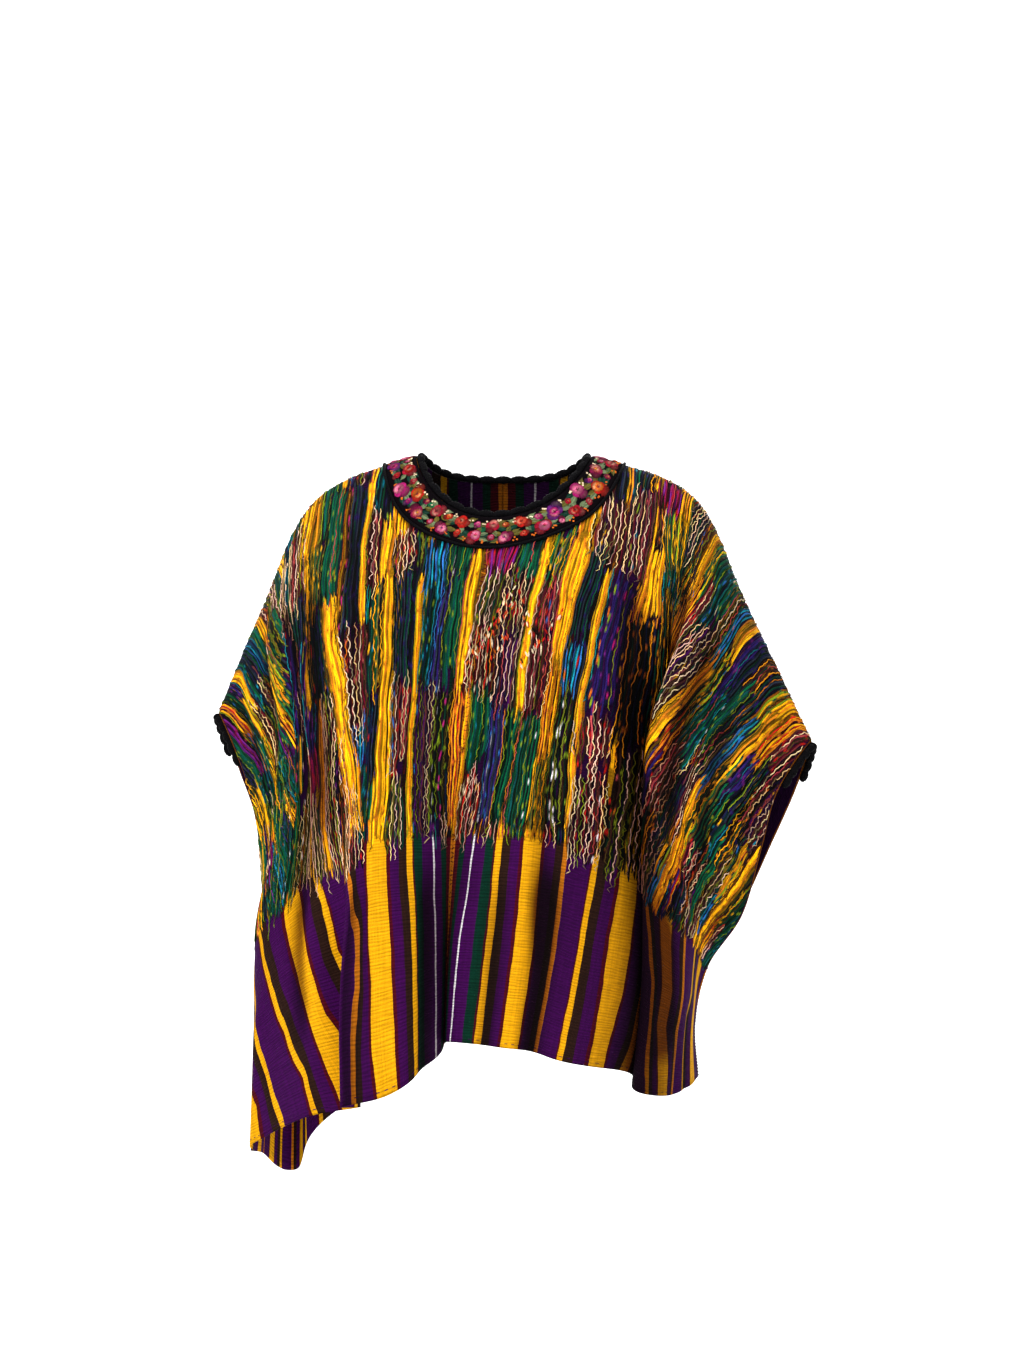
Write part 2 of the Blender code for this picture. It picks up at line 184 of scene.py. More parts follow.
# How far the warp leans where the cloth is pulled across the body: at each drop down the front, the flat
# places u at which these warp places show
LEAN_WARPS = (
    -450, -316, -296, -275, -270, -242, -237, -209, -189, -167, -161, -131, -126, -103, -83,
    0, 150, 189, 209, 237, 242, 270, 275, 296, 316, 339, 344, 450,
)
LEAN = {
    220: LEAN_WARPS,
    400: (-450, -410, -395, -372, -366, -331, -325, -268, -247, -207, -200, -160, -154, -108, -86,
          0, 149, 180, 196, 215, 222, 285, 290, 309, 330, 350, 354, 450),
    450: (-450, -395, -372, -345, -338, -302, -296, -250, -225, -190, -185, -131, -122, -105, -85,
          0, 148, 183, 200, 214, 220, 292, 297, 312, 331, 350, 354, 450),
    500: (-450, -385, -350, -320, -313, -275, -267, -229, -206, -184, -179, -111, -108, -103, -83,
          0, 148, 182, 201, 219, 225, 299, 304, 318, 334, 352, 357, 450),
    550: (-450, -370, -330, -300, -294, -248, -242, -212, -195, -165, -162, -110, -108, -101, -82,
          0, 148, 184, 201, 221, 229, 299, 304, 313, 328, 345, 352, 450),
    600: (-450, -360, -305, -278, -271, -222, -217, -199, -174, -160.5, -158, -115, -113, -102, -81,
          0, 148, 186, 199, 221, 231, 301, 307, 317, 332, 345, 352, 450),
    640: (-450, -350, -297, -259, -253, -213, -208, -190, -172, -159.5, -157, -117, -115, -100, -80,
          0, 148, 187, 199, 213, 222, 307, 311, 322, 337, 348, 354, 450),
}

# Looks of the brocade. Each is a run of yarns taken in turn across its ground threads. `fleck` is the
# yarn that they turn to in short dashes, over `share` of their length. A fine line of the yarn `line` lies
# over every `spacing`th thread, if that isn't 0, and wanders by `wave` millimetres.
LOOK_COLUMNS = ("yarns", "fleck", "share", "line", "spacing", "wave")
LOOKS = {
    "gold": (("gold", "gold", "amber", "gold"), "amber", 0.14, "olive", 8, 0.6),
    "gold_wavy": (("gold", "amber", "lime", "gold"), "green", 0.22, "brown", 4, 1.0),
    "green": (("green", "deep_green", "green", "teal"), "lime", 0.08, "lime", 7, 1.0),
    "lime": (("lime", "green", "olive", "deep_green"), "gold", 0.16, "gold", 4, 1.3),
    "teal": (("teal", "deep_green", "green", "navy"), "turquoise", 0.12, "turquoise", 7, 0.9),
    "turquoise": (("turquoise", "navy", "sky", "teal"), "teal", 0.08, "sky", 6, 1.0),
    "navy": (("navy", "slate", "black", "deep_green"), "indigo", 0.18, "green", 9, 0.8),
    "navy_flecked": (("navy", "indigo", "slate"), "sky", 0.10, "sky", 7, 0.9),
    "indigo": (("indigo", "navy", "deep_violet", "indigo"), "plum", 0.18, "turquoise", 10, 0.8),
    "violet": (("violet", "deep_violet", "plum"), "magenta", 0.16, "magenta", 8, 0.7),
    "magenta": (("magenta", "wine", "magenta", "plum"), "scarlet", 0.14, "rose", 9, 0.7),
    "brown_cream": (("umber", "brown", "wine", "mauve"), "olive", 0.12, "cream", 3, 1.7),
    "mauve_cream": (("mauve", "umber", "wine", "brown"), "rose", 0.12, "cream", 3, 1.6),
    "wine_cream": (("wine", "brown", "umber", "black"), "scarlet", 0.14, "cream", 2, 1.6),
    "violet_cream": (("deep_violet", "brown", "violet", "mauve"), "navy", 0.16, "cream", 3, 1.7),
    "rose_cream": (("rose", "brown", "mauve", "wine"), "scarlet", 0.22, "cream", 3, 1.5),
    "red_cream": (("scarlet", "brown", "umber", "wine"), "cream", 0.16, "cream", 2, 1.5),
    "olive_cream": (("olive", "brown", "deep_green", "brown"), "lime", 0.14, "cream", 3, 1.7),
    "olive": (("olive", "brown", "deep_green", "black"), "lime", 0.18, "lime", 4, 1.5),
    "red_gold": (("scarlet", "amber", "wine", "gold"), "orange", 0.20, "gold", 4, 1.0),
    "brown_gold": (("brown", "umber", "deep_green", "umber"), "amber", 0.14, "gold", 3, 1.2),
    "navy_gold": (("navy", "black", "deep_green", "brown"), "amber", 0.14, "gold", 5, 1.0),
}

# Yarns of the odd bright threads strewn through every look
ACCENTS = ("turquoise", "lime", "scarlet", "gold", "fuchsia", "white", "orange", "sky", "green", "cream")

# Looks that fill the ground between the patches, taken in turn
GROUND_LOOKS = ("navy", "green", "mauve_cream", "teal", "indigo", "olive", "navy", "wine_cream", "green", "brown_gold")

# Brocade patches of the front: top drop with its left and right u, then bottom drop with its own
PATCH_COLUMNS = ("v0", "a0", "b0", "v1", "a1", "b1", "look")
PATCHES = (
    (112, -62, -38, 168, -60, -38, "turquoise"), (112, -38, -14, 150, -38, -14, "green"),
    (150, -58, -42, 255, -60, -42, "teal"), (168, -42, -32, 258, -42, -31, "navy_flecked"),
    (150, -32, -15, 255, -31, -16, "green"), (116, -15, -3, 262, -16, -6, "gold"),
    (258, -16, -4, 405, -12, 0, "red_gold"), (145, 2, 28, 202, -4, 26, "olive_cream"),
    (145, 28, 52, 215, 26, 52, "wine_cream"), (202, -6, 26, 262, -6, 26, "red_cream"),
    (212, 26, 50, 285, 26, 48, "violet_cream"), (262, 4, 26, 340, 4, 30, "green"),
    (280, 26, 45, 400, 30, 45, "navy_flecked"), (285, 45, 60, 400, 45, 58, "green"),
    (335, 3, 28, 416, 3, 26, "red_cream"), (258, -58, -34, 410, -58, -36, "violet_cream"),
    (262, -34, -17, 395, -36, -16, "olive"),
    (100, -98, -74, 142, -96, -74, "wine_cream"), (140, -94, -67, 258, -90, -67, "navy"),
    (255, -89, -67, 346, -89, -67, "rose_cream"), (346, -89, -67, 424, -88, -66, "olive_cream"),
    (78, -113, -99, 142, -113, -101, "gold"), (140, -116, -104, 262, -112, -105, "lime"),
    (140, -104, -94, 414, -105, -90, "gold"), (150, -67, -61, 414, -65, -57, "gold"),
    (66, -128, -113, 152, -126, -114, "mauve_cream"), (30, -134, -128, 182, -134, -127, "gold"),
    (28, -152, -134, 190, -152, -134, "navy"), (26, -157, -152, 190, -158, -152, "gold"),
    (24, -180, -157, 150, -178, -158, "green"), (76, -202, -180, 152, -200, -178, "lime"),
    (10, -228, -190, 84, -224, -200, "gold"), (190, -152, -122, 300, -134, -116, "mauve_cream"),
    (150, -176, -158, 300, -152, -134, "gold"), (150, -202, -176, 260, -192, -154, "navy"),
    (282, -134, -112, 332, -132, -114, "turquoise"), (286, -154, -134, 404, -132, -110, "gold"),
    (344, -150, -128, 436, -146, -108, "wine_cream"), (250, -208, -186, 292, -206, -184, "indigo"),
    (292, -208, -184, 340, -206, -182, "magenta"), (340, -208, -182, 424, -200, -176, "olive_cream"),
    (250, -184, -176, 424, -182, -170, "gold"), (250, -176, -158, 424, -170, -150, "wine_cream"),
    (34, -246, -212, 124, -240, -206, "mauve_cream"), (112, -240, -204, 176, -232, -202, "navy"),
    (170, -252, -202, 262, -240, -200, "indigo"), (180, -262, -236, 300, -232, -208, "violet_cream"),
    (300, -254, -212, 414, -250, -206, "olive_cream"),
    (236, -300, -262, 300, -296, -258, "green"), (300, -300, -254, 418, -292, -250, "green"),
    (112, 0, 32, 146, 0, 30, "magenta"), (112, 32, 52, 146, 30, 52, "green"),
    (112, 52, 62, 285, 50, 60, "gold"), (104, 62, 80, 150, 62, 80, "lime"),
    (150, 62, 82, 215, 60, 82, "rose_cream"), (215, 60, 84, 290, 60, 84, "mauve_cream"),
    (290, 58, 84, 405, 58, 82, "green"), (98, 80, 101, 240, 82, 100, "gold"),
    (240, 83, 99, 330, 84, 100, "red_gold"), (330, 84, 104, 405, 84, 104, "lime"),
    (78, 96, 112, 108, 98, 112, "brown_cream"), (108, 101, 124, 212, 101, 122, "navy"),
    (212, 98, 120, 262, 100, 120, "turquoise"), (262, 100, 122, 400, 102, 124, "olive"),
    (56, 112, 136, 134, 114, 138, "brown_cream"), (36, 136, 164, 136, 138, 162, "mauve_cream"),
    (134, 122, 130, 400, 124, 130, "gold"), (136, 130, 160, 268, 130, 158, "indigo"),
    (268, 122, 160, 330, 126, 160, "rose_cream"), (330, 126, 164, 425, 130, 168, "wine_cream"),
    (90, 163, 184, 168, 160, 182, "gold"), (10, 160, 194, 48, 164, 192, "magenta"),
    (46, 168, 206, 108, 184, 210, "lime"), (168, 158, 184, 300, 158, 190, "navy_gold"),
    (100, 184, 232, 140, 184, 226, "teal"), (18, 206, 232, 100, 210, 240, "navy"),
    (140, 184, 206, 300, 190, 208, "navy_gold"), (300, 168, 206, 432, 170, 208, "olive_cream"),
)

# Slanting rows of short bright stitches over the middle of the brocade, each from u, v to u, v
SLANTING_ROWS = ((-4, 238, 37, 164), (4, 230, 41, 174), (40, 172, 60, 212), (52, 238, 90, 186), (22, 236, 38, 206))
SLANTING_YARNS = ("scarlet", "orange", "black", "cream", "scarlet", "coral", "cream")

# Looks that the slanting brocade of each sleeve takes in turn, streak by streak
SLEEVE_LOOKS = {
    -1: ("navy", "green", "gold", "teal", "red_gold", "lime", "brown_cream", "green", "gold", "violet", "gold_wavy",
         "olive", "turquoise", "indigo", "green", "gold", "mauve_cream", "navy", "green"),
    1: ("brown_cream", "teal", "gold", "navy", "rose_cream", "gold", "green", "indigo", "gold_wavy", "wine_cream",
        "lime", "olive_cream", "navy", "gold", "violet_cream", "green", "turquoise", "brown_gold", "red_gold"),
}

# Slant of the sleeve brocade, in millimetres across for each millimetre down, and how wide its streaks are
SLANT = {-1: 0.42, 1: 0.26}
STREAK = 12.6

# The cloth as it is shown: the thickness of its wall, how many of the stripes its first colour ramp holds,
# the distance between its warp threads, and the drops over which it turns from painted shadow under the
# brocade's threads to bare cloth
SHOWN_CLOTH = 1.4
STRIPE_SPLIT = 26
WARP_PITCH = 1.3
BROCADE_SHADOW_DROPS = (402.0, 412.0)

# Painted shade in the valleys of the cloth: the depth at which a crease counts in full, the depth up
# to which a fold doesn't count and how much deeper it counts in full, and what the colour is multiplied by in full
# shade
FULL_CREASE = 6.0
SHALLOW_FOLD = 12
FOLD_RANGE = 28.0
HOLLOW_SHADE = (0.11, 0.055, 0.065)

# Brocade threads, in millimetres: how far down they reach, from which drop on a run ends at the lower edge
# with long tails, how close they lie, how finely ground threads and fine lines are stepped, how far they
# stay from the selvage, the shortest run worth laying, and the light left on the outermost threads of a
# run, a painted shadow between runs
BROCADE_DROP = 414.0
LOWER_EDGE = 380.0
THREAD_PITCH = 1.8
GROUND_STEP = 4.2
LINE_STEP = 2.9
EDGE_MARGIN = 3.0
SHORTEST_RUN = 8.0
SHADOWED_EDGE_LIGHT = 0.4

# Patches with cream lines that start below this drop have tops pointed by so many millimetres
POINTED_BELOW = 260.0
POINT_HEIGHT = 26.0

# The ground between the patches: how far across it reaches, and how many threads wide its blocks are
GROUND_REACH = (-262.0, 212.0)
BLOCK_THREADS = 7

# The sleeves' brocade: where it starts on the shoulder fold, and its inner edge beside the side where the
# patches reach further out (-1) and beside the other (1)
SLEEVE_START = 200.0
SLEEVE_INNER = {-1: 262.0, 1: 210.0}

# The flower band: the radii of its two rows of roses, the height of its face, the width of its leaves, and
# the two rings of a rose's petals: how many, from where to where as shares of its size, how far they rise,
# and their stitches each
ROSE_RADII = (95.0, 108.5)
BAND_TOP = CLOTH / 2 + SEAM_GAP + BAND_WALL
LEAF_WIDTH = 4.0
PETAL_RINGS = ((4, 0.14, 1.0, 0.1, 7), (2, 0.04, 0.62, 0.7, 6))

# Yarns of the roses in turn: outer petals, inner petals, heart and leaves
ROSES = (
    ("crimson", "rose", "wine", "green"), ("magenta", "pink", "plum", "olive"),
    ("scarlet", "coral", "wine", "sage"), ("crimson", "pink", "scarlet", "deep_green"),
    ("plum", "fuchsia", "wine", "sage"), ("crimson", "scarlet", "wine", "olive"),
    ("fuchsia", "pink", "wine", "green"), ("scarlet", "orange", "magenta", "deep_green"),
    ("magenta", "rose", "gold", "sage"),
)

# Leaves round each rose: their turn from its place on the band, and their length in millimetres
LEAF_SPRAY = ((-1.9, 9.5), (-1.2, 11.0), (1.3, 11.0), (2.0, 9.5), (0.4, 8.0), (2.8, 8.0), (-1.55, 13.0), (1.65, 13.0))

# The edgings as they are shown, in millimetres: half width of the piping, half widths of a scallop between
# and at its lobes, how far the neck edging stands inside the neck hole, and the points round the piping and
# along each scallop
PIPING_HALF = 1.6
SCALLOP_THIN = 2.2
SCALLOP_FAT = 3.9
SCALLOP_INSET = 0.4
PIPING_STEPS = 240
SCALLOP_STEPS = 16

# Stitches of the seams, as first place, last place and spacing: down the centre join, along each hem, and
# down each side
JOIN_STITCHES = (124.0, 636.0, 4.6)
HEM_STITCHES = (4.0 - HALF_WIDTH, HALF_WIDTH - 8.0, 7.5)
SIDE_STITCHES = (404.0, 638.0, 7.0)
HEM_MARGIN = 5.0

# Seeds of the random draws
ROSE_SEED = 7
BROCADE_SEED = 11
SEAM_SEED = 5

# Scale of the fuzz on the brocade's thick yarn and on the fine yarn of the embroidery
THICK_YARN = 900.0
FINE_YARN = 1600.0

# The studio, in metres: the floor's half size, height and middle, the wall behind it with its soft corner,
# and the camera that looks straight at the front, its lens and sensor in millimetres. Then the strength of
# the white sky and the shade of the floor
FLOOR_HALF = 6.0
FLOOR_HEIGHT = -1.02
FLOOR_MIDDLE = 2.0
WALL_HEIGHT = 9.0
CORNER_RADIUS = 2.0
CORNER_STEPS = 16
CAMERA_PLACE = (0.009, -4.5, -0.213)
CAMERA_LENS = 118.6
CAMERA_SENSOR = 36.0
CAMERA_REACH = 100.0
SKY_STRENGTH = 0.5
PALE = 0.9

# The lights: place, aim, size and power
BODY = (0.0, 0.0, -0.33)
BACKDROP = (0.0, 8.0, 0.2)
STUDIO_LIGHTS = (
    ("key_light", (-2.0, -2.8, 1.7), BODY, 1.5, 125.0), ("fill_light", (2.6, -3.0, 0.4), BODY, 2.6, 34.0),
    ("top_light", (0.0, -0.3, 2.6), BODY, 2.0, 50.0), ("back_light", (0.6, 3.0, 1.6), BODY, 2.4, 45.0),
    ("backdrop_light_right", (-3.2, 4.6, 1.6), BACKDROP, 3.0, 260.0),
    ("backdrop_light_left", (3.2, 4.6, 1.6), BACKDROP, 3.0, 260.0),
)


def smooth(t):
    """A soft step from 0 to 1."""
    t = np.clip(t, 0.0, 1.0)
    return t * t * (3 - 2 * t)


ACROSS = np.array(STATIONS, float)
DROPS = np.array(tuple(SECTIONS), float)
FORM = np.array(tuple(SECTIONS.values()), float)
FORM_ACROSS = np.gradient(FORM, ACROSS, axis=1)
FORM_DOWN = np.gradient(FORM, DROPS, axis=0)
FORM_BOTH = np.gradient(FORM_ACROSS, DROPS, axis=0)


def cubic(t, span):
    """Hermite weights of the low value, low slope, high value and high slope."""
    return (
        2 * t**3 - 3 * t**2 + 1,
        (t**3 - 2 * t**2 + t) * span,
        3 * t**2 - 2 * t**3,
        (t**3 - t**2) * span,
    )


def cell_of(knots, at):
    """Index of the stretch of knots that holds each place, how far along it is, and the stretch's length."""
    i = np.clip(np.searchsorted(knots, at, side="right") - 1, 0, len(knots) - 2)
    span = knots[i + 1] - knots[i]
    return i, (at - knots[i]) / span, span


def folded(u, v):
    """Each fold's row, with how far across it and how fully in it each flat place lies."""
    for row in FOLDS.values():
        fold = dict(zip(FOLD_COLUMNS, row))
        hem = math.copysign(DROP, fold["full"])
        there = smooth((v - fold["starts"]) / (fold["full"] - fold["starts"]))
        there = there * (1 - smooth((v - fold["fades"]) / (fold["ends"] - fold["fades"])))
        along = np.clip((v - fold["starts"]) / (hem - fold["starts"]), 0.0, 1.0)
        line = fold["u_top"] + (fold["u_hem"] - fold["u_top"]) * along
        off = (u - line) / fold["half_width"]
        yield fold, off, there * np.exp(-off * off / 2)


def cloth(u, v):
    """The middle of the worn cloth at flat places (u, v) in millimetres, as points in metres."""
    i, tu, span_u = cell_of(ACROSS, u)
    j, tv, span_v = cell_of(DROPS, v)
    across, down = cubic(tu, span_u), cubic(tv, span_v)
    point = np.zeros(u.shape + (3,))
    for dj in (0, 1):
        for di in (0, 1):
            at = (j + dj, i + di)
            point += (down[2 * dj] * across[2 * di])[:, None] * FORM[at]
            point += (down[2 * dj] * across[2 * di + 1])[:, None] * FORM_ACROSS[at]
            point += (down[2 * dj + 1] * across[2 * di])[:, None] * FORM_DOWN[at]
            point += (down[2 * dj + 1] * across[2 * di + 1])[:, None] * FORM_BOTH[at]
    for fold, off, bell in folded(u, v):
        point[:, 1] += bell * (fold["valley"] + fold["step"] * off)
        point[:, 0] -= bell * off * fold["squeeze"]
    return point * 0.001


def unit(vectors):
    """The vectors at length 1."""
    return vectors / np.maximum(np.linalg.norm(vectors, axis=1, keepdims=True), 1e-12)


def outward(u, v):
    """Directions straight out of the worn cloth."""
    across = cloth(u + 1.0, v) - cloth(u - 1.0, v)
    down = cloth(u, v + 1.0) - cloth(u, v - 1.0)
    return unit(np.cross(down, across))


def leftward(u, v):
    """Directions along the weft, to the wearer's left."""
    return unit(cloth(u + 8.0, v) - cloth(u - 8.0, v))


def creased(u, v):
    """Height of the listed creases in millimetres."""
    height = np.zeros(u.shape)
    for row in CREASES:
        crease = dict(zip(CREASE_COLUMNS, row))
        run = np.array((crease["u1"] - crease["u0"], crease["v1"] - crease["v0"]), float)
        length = math.hypot(*run)
        along = ((u - crease["u0"]) * run[0] + (v - crease["v0"]) * run[1]) / length**2
        off = ((u - crease["u0"]) * run[1] - (v - crease["v0"]) * run[0]) / length / crease["half_width"]
        there = smooth(along / 0.3)
        if abs(crease["v1"]) < DROP:
            there = there * smooth((1 - along) / 0.3)
        height += crease["depth"] * there * np.exp(-off * off / 2) * CREASE_GAIN
    near_neck = smooth((np.hypot(u, v) - BAND_RADIUS) / 40.0)
    return height * near_neck


def valley_shade(u, v):
    """How deep each flat place lies in the troughs and valleys of the cloth, from 0 to 1, as its share of painted
    shade.
    """
    depth = -creased(u, v) / FULL_CREASE
    for fold, _, bell in folded(u, v):
        depth += bell * max(fold["valley"] - SHALLOW_FOLD, 0) / FOLD_RANGE
    return smooth(depth)


def surface(u, v, lift):
    """Points `lift` millimetres outside the middle of the creased cloth."""
    u, v = np.asarray(u, float), np.asarray(v, float)
    return cloth(u, v) + outward(u, v) * (np.asarray(lift + creased(u, v)) * 0.001)[:, None]


def leaning(u, v):
    """The warp place that shows at flat place (u, v), where pulled cloth lets the stripes slant."""
    drops = np.array(tuple(LEAN), float)
    rows = np.array([np.interp(u, LEAN[drop], LEAN_WARPS) for drop in LEAN])
    i, t, _ = cell_of(drops, np.clip(v, drops[0], drops[-1]))
    every = np.arange(len(u))
    return rows[i, every] * (1 - t) + rows[i + 1, every] * t


def warp_yarn(place):
    """Name of the stripe's yarn at a warp place."""
    ends = np.cumsum([wide for _, wide in STRIPES])
    return STRIPES[min(int(np.searchsorted(ends, abs(place), side="right")), len(STRIPES) - 1)][0]


def flat_place(column, row):
    """Flat (u, v) of grid places: circles round the neck hole, squaring up into straight warp and weft."""
    ring = np.maximum(np.abs(column), np.abs(row))
    radius = NECK_RADIUS + (BAND_RADIUS - NECK_RADIUS) * (ring - NECK_STEPS) / (BAND_STEPS - NECK_STEPS)
    safe_row, safe_column = np.maximum(np.abs(row), 1e-9), np.maximum(np.abs(column), 1e-9)
    by_row = math.pi / 4 * column / safe_row
    by_row = np.where(row > 0, by_row, math.pi - by_row)
    by_column = np.copysign(math.pi / 2 - math.pi / 4 * row / safe_column, column)
    turn = np.where(np.abs(column) <= np.abs(row), by_row, by_column)
    below = np.maximum(np.abs(row) - BAND_STEPS, 0)
    straight_u = (HALF_WIDTH - SIDE_SEAM_INSET) * column / COLUMNS
    straight_v = BAND_RADIUS * (np.abs(row) - below) / BAND_STEPS + (DROP - BAND_RADIUS) * below / (ROWS - BAND_STEPS)
    share = smooth((ring - BAND_STEPS) / SQUARING_STEPS)
    u = (1 - share) * radius * np.sin(turn) + share * straight_u
    v = (1 - share) * radius * np.cos(turn) + share * np.copysign(straight_v, row)
    return u, v


def settings():
    """The sizes and colours in the sidebar."""
    return bpy.context.scene.huipil


def yarn(name):
    """Colour of a yarn."""
    chosen = {"violet": settings().violet, "gold": settings().gold}
    return tuple(chosen.get(name, YARNS[name]))[:3]


def show(mesh, name, finish, slot, *nodes):
    """Puts a finished mesh or curve in the scene, riding on the one body."""
    obj = bpy.data.objects.new(name, mesh)
    bpy.context.scene.collection.objects.link(obj)
    mesh.materials.append(finish)
    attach(obj, "root")
    if nodes:
        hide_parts(*nodes)
    return obj


def places(mesh, wide, high):
    """Column and row number of each vertex of a mesh that began as a grid from -1 to 1."""
    flat = np.empty(len(mesh.vertices) * 3, np.float32)
    mesh.vertices.foreach_get("co", flat)
    flat = flat.reshape(-1, 3).astype(float)
    return np.rint((flat[:, 0] + 1) / 2 * wide), np.rint((flat[:, 1] + 1) / 2 * high)


def woven_sheet(name, side, columns, rows, finer, lift, wall, finish, slot):
    """A fine sheet over the grid columns 0 or -n to n and rows -n to n, with the neck hole left open."""
    first = 0 if side else -columns
    wide, high = (columns - first) * finer, 2 * rows * finer
    bm = bmesh.new()
    bmesh.ops.create_grid(bm, x_segments=wide, y_segments=high, size=1.0)
    reach = NECK_STEPS * finer
    hole = [
        face for face in bm.faces
        if all(
            abs(round((vert.co.x + 1) / 2 * wide) + first * finer) <= reach
            and abs(round((vert.co.y + 1) / 2 * high) - rows * finer) <= reach
            for vert in face.verts
        )
    ]
    bmesh.ops.delete(bm, geom=hole, context="FACES")
    if side >= 0:
        bmesh.ops.reverse_faces(bm, faces=list(bm.faces))
    mesh = bpy.data.meshes.new(name)
    bm.to_mesh(mesh)
    bm.free()
    column, row = places(mesh, wide, high)
    column, row = column / finer + first, row / finer - rows
    u, v = flat_place(side * column if side else column, row)
    points = surface(u, v, lift)
    join = np.where(column == 0, side * SEAM_GAP / 2, 0.0) if side else np.zeros(u.shape)
    points += leftward(u, v) * (join * 0.001)[:, None]
    mesh.vertices.foreach_set("co", points.astype(np.float32).ravel())
    # The weave attribute carries the warp place shown, the drop, and the share of painted shade in the valleys
    weave = mesh.attributes.new("weave", "FLOAT_VECTOR", "POINT")
    weave.data.foreach_set("vector", np.stack((leaning(u, v), v, valley_shade(u, v)), 1).astype(np.float32).ravel())
    mesh.shade_smooth()
    obj = show(mesh, name, finish, slot, name)
    solid = obj.modifiers.new("wall", "SOLIDIFY")
    solid.thickness = wall * 0.001
    solid.offset = 0.0
    return obj


def lay_threads(name, threads, finish, slot):
    """One mesh of many threads laid on the cloth, each a low ridged strip along its own line.

    A thread is (u, v, lift, half width, ridge height, colour) with a value at each of its points, or one
    for them all.
    """
    counts = [len(thread[0]) for thread in threads]
    total = sum(counts)
    u, v, lift, half, ridge = (
        np.concatenate([np.broadcast_to(thread[n], count) for thread, count in zip(threads, counts)])
        for n in range(5)
    )
    colour = np.concatenate([thread[5] for thread in threads])
    last = np.cumsum(counts) - 1
    ends = np.zeros(total, bool)
    ends[last] = True
    bm = bmesh.new()
    bmesh.ops.create_grid(bm, x_segments=2, y_segments=total - 1, size=1.0)
    between = [face for face in bm.faces if ends[int((face.calc_center_median().y + 1) / 2 * (total - 1))]]
    bmesh.ops.delete(bm, geom=between, context="FACES")
    mesh = bpy.data.meshes.new(name)
    bm.to_mesh(mesh)
    bm.free()
    column, row = places(mesh, 2, total - 1)
    row = row.astype(int)
    step_u, step_v = np.append(np.diff(u), 0.0), np.append(np.diff(v), 0.0)
    step_u[last], step_v[last] = step_u[last - 1], step_v[last - 1]
    length = np.maximum(np.hypot(step_u, step_v), 1e-9)
    aside = (column - 1) * half[row]
    at_u = u[row] - aside * (step_v / length)[row]
    at_v = v[row] + aside * (step_u / length)[row]
    edge = HALF_WIDTH - SIDE_SEAM_INSET
    at_u, at_v = np.clip(at_u, -edge, edge), np.clip(at_v, -DROP, DROP)
    points = surface(at_u, at_v, lift[row] + np.where(column == 1, ridge[row], 0.0))
    mesh.vertices.foreach_set("co", points.astype(np.float32).ravel())
    paint = mesh.attributes.new("thread", "FLOAT_COLOR", "POINT")
    # Painted shade: the threads' colours darken towards HOLLOW_SHADE in the troughs and valleys of the cloth
    colour = colour * np.power(HOLLOW_SHADE, 0.8 * valley_shade(u, v)[:, None])
    shade = np.concatenate((colour[row], np.ones((len(row), 1))), 1)
    paint.data.foreach_set("color", shade.astype(np.float32).ravel())
    mesh.shade_smooth()
    return show(mesh, name, finish, slot)


def tinted(rng, name, count, low, high):
    """A yarn's colour at `count` points, at a strength drawn between two limits."""
    return np.tile(np.array(yarn(name)), (count, 1)) * rng.uniform(low, high)


def strand(at_u, top, bottom, step, half, ridge, lift, paint, wander):
    """One thread down a warp line. `paint` and `wander` give its colour and its sideways play at drops v."""
    v = np.linspace(top, bottom, max(int(abs(bottom - top) / step), 3))
    taper = np.ones(len(v))
    taper[0] = taper[-1] = 0.35
    return at_u(v) + wander(v), v, lift, half * taper, ridge * taper, paint(v)


def pushed(u, v):
    """How far the brocade's threads are pushed aside together at flat places, in millimetres."""
    room = np.clip((HALF_WIDTH - EDGE_MARGIN - np.abs(u)) / 25.0, 0.0, 1.0)
    return room * (0.9 * np.sin(v / 24.0 + u / 7.0) + 0.7 * np.sin(v / 10.5 - u / 9.0))


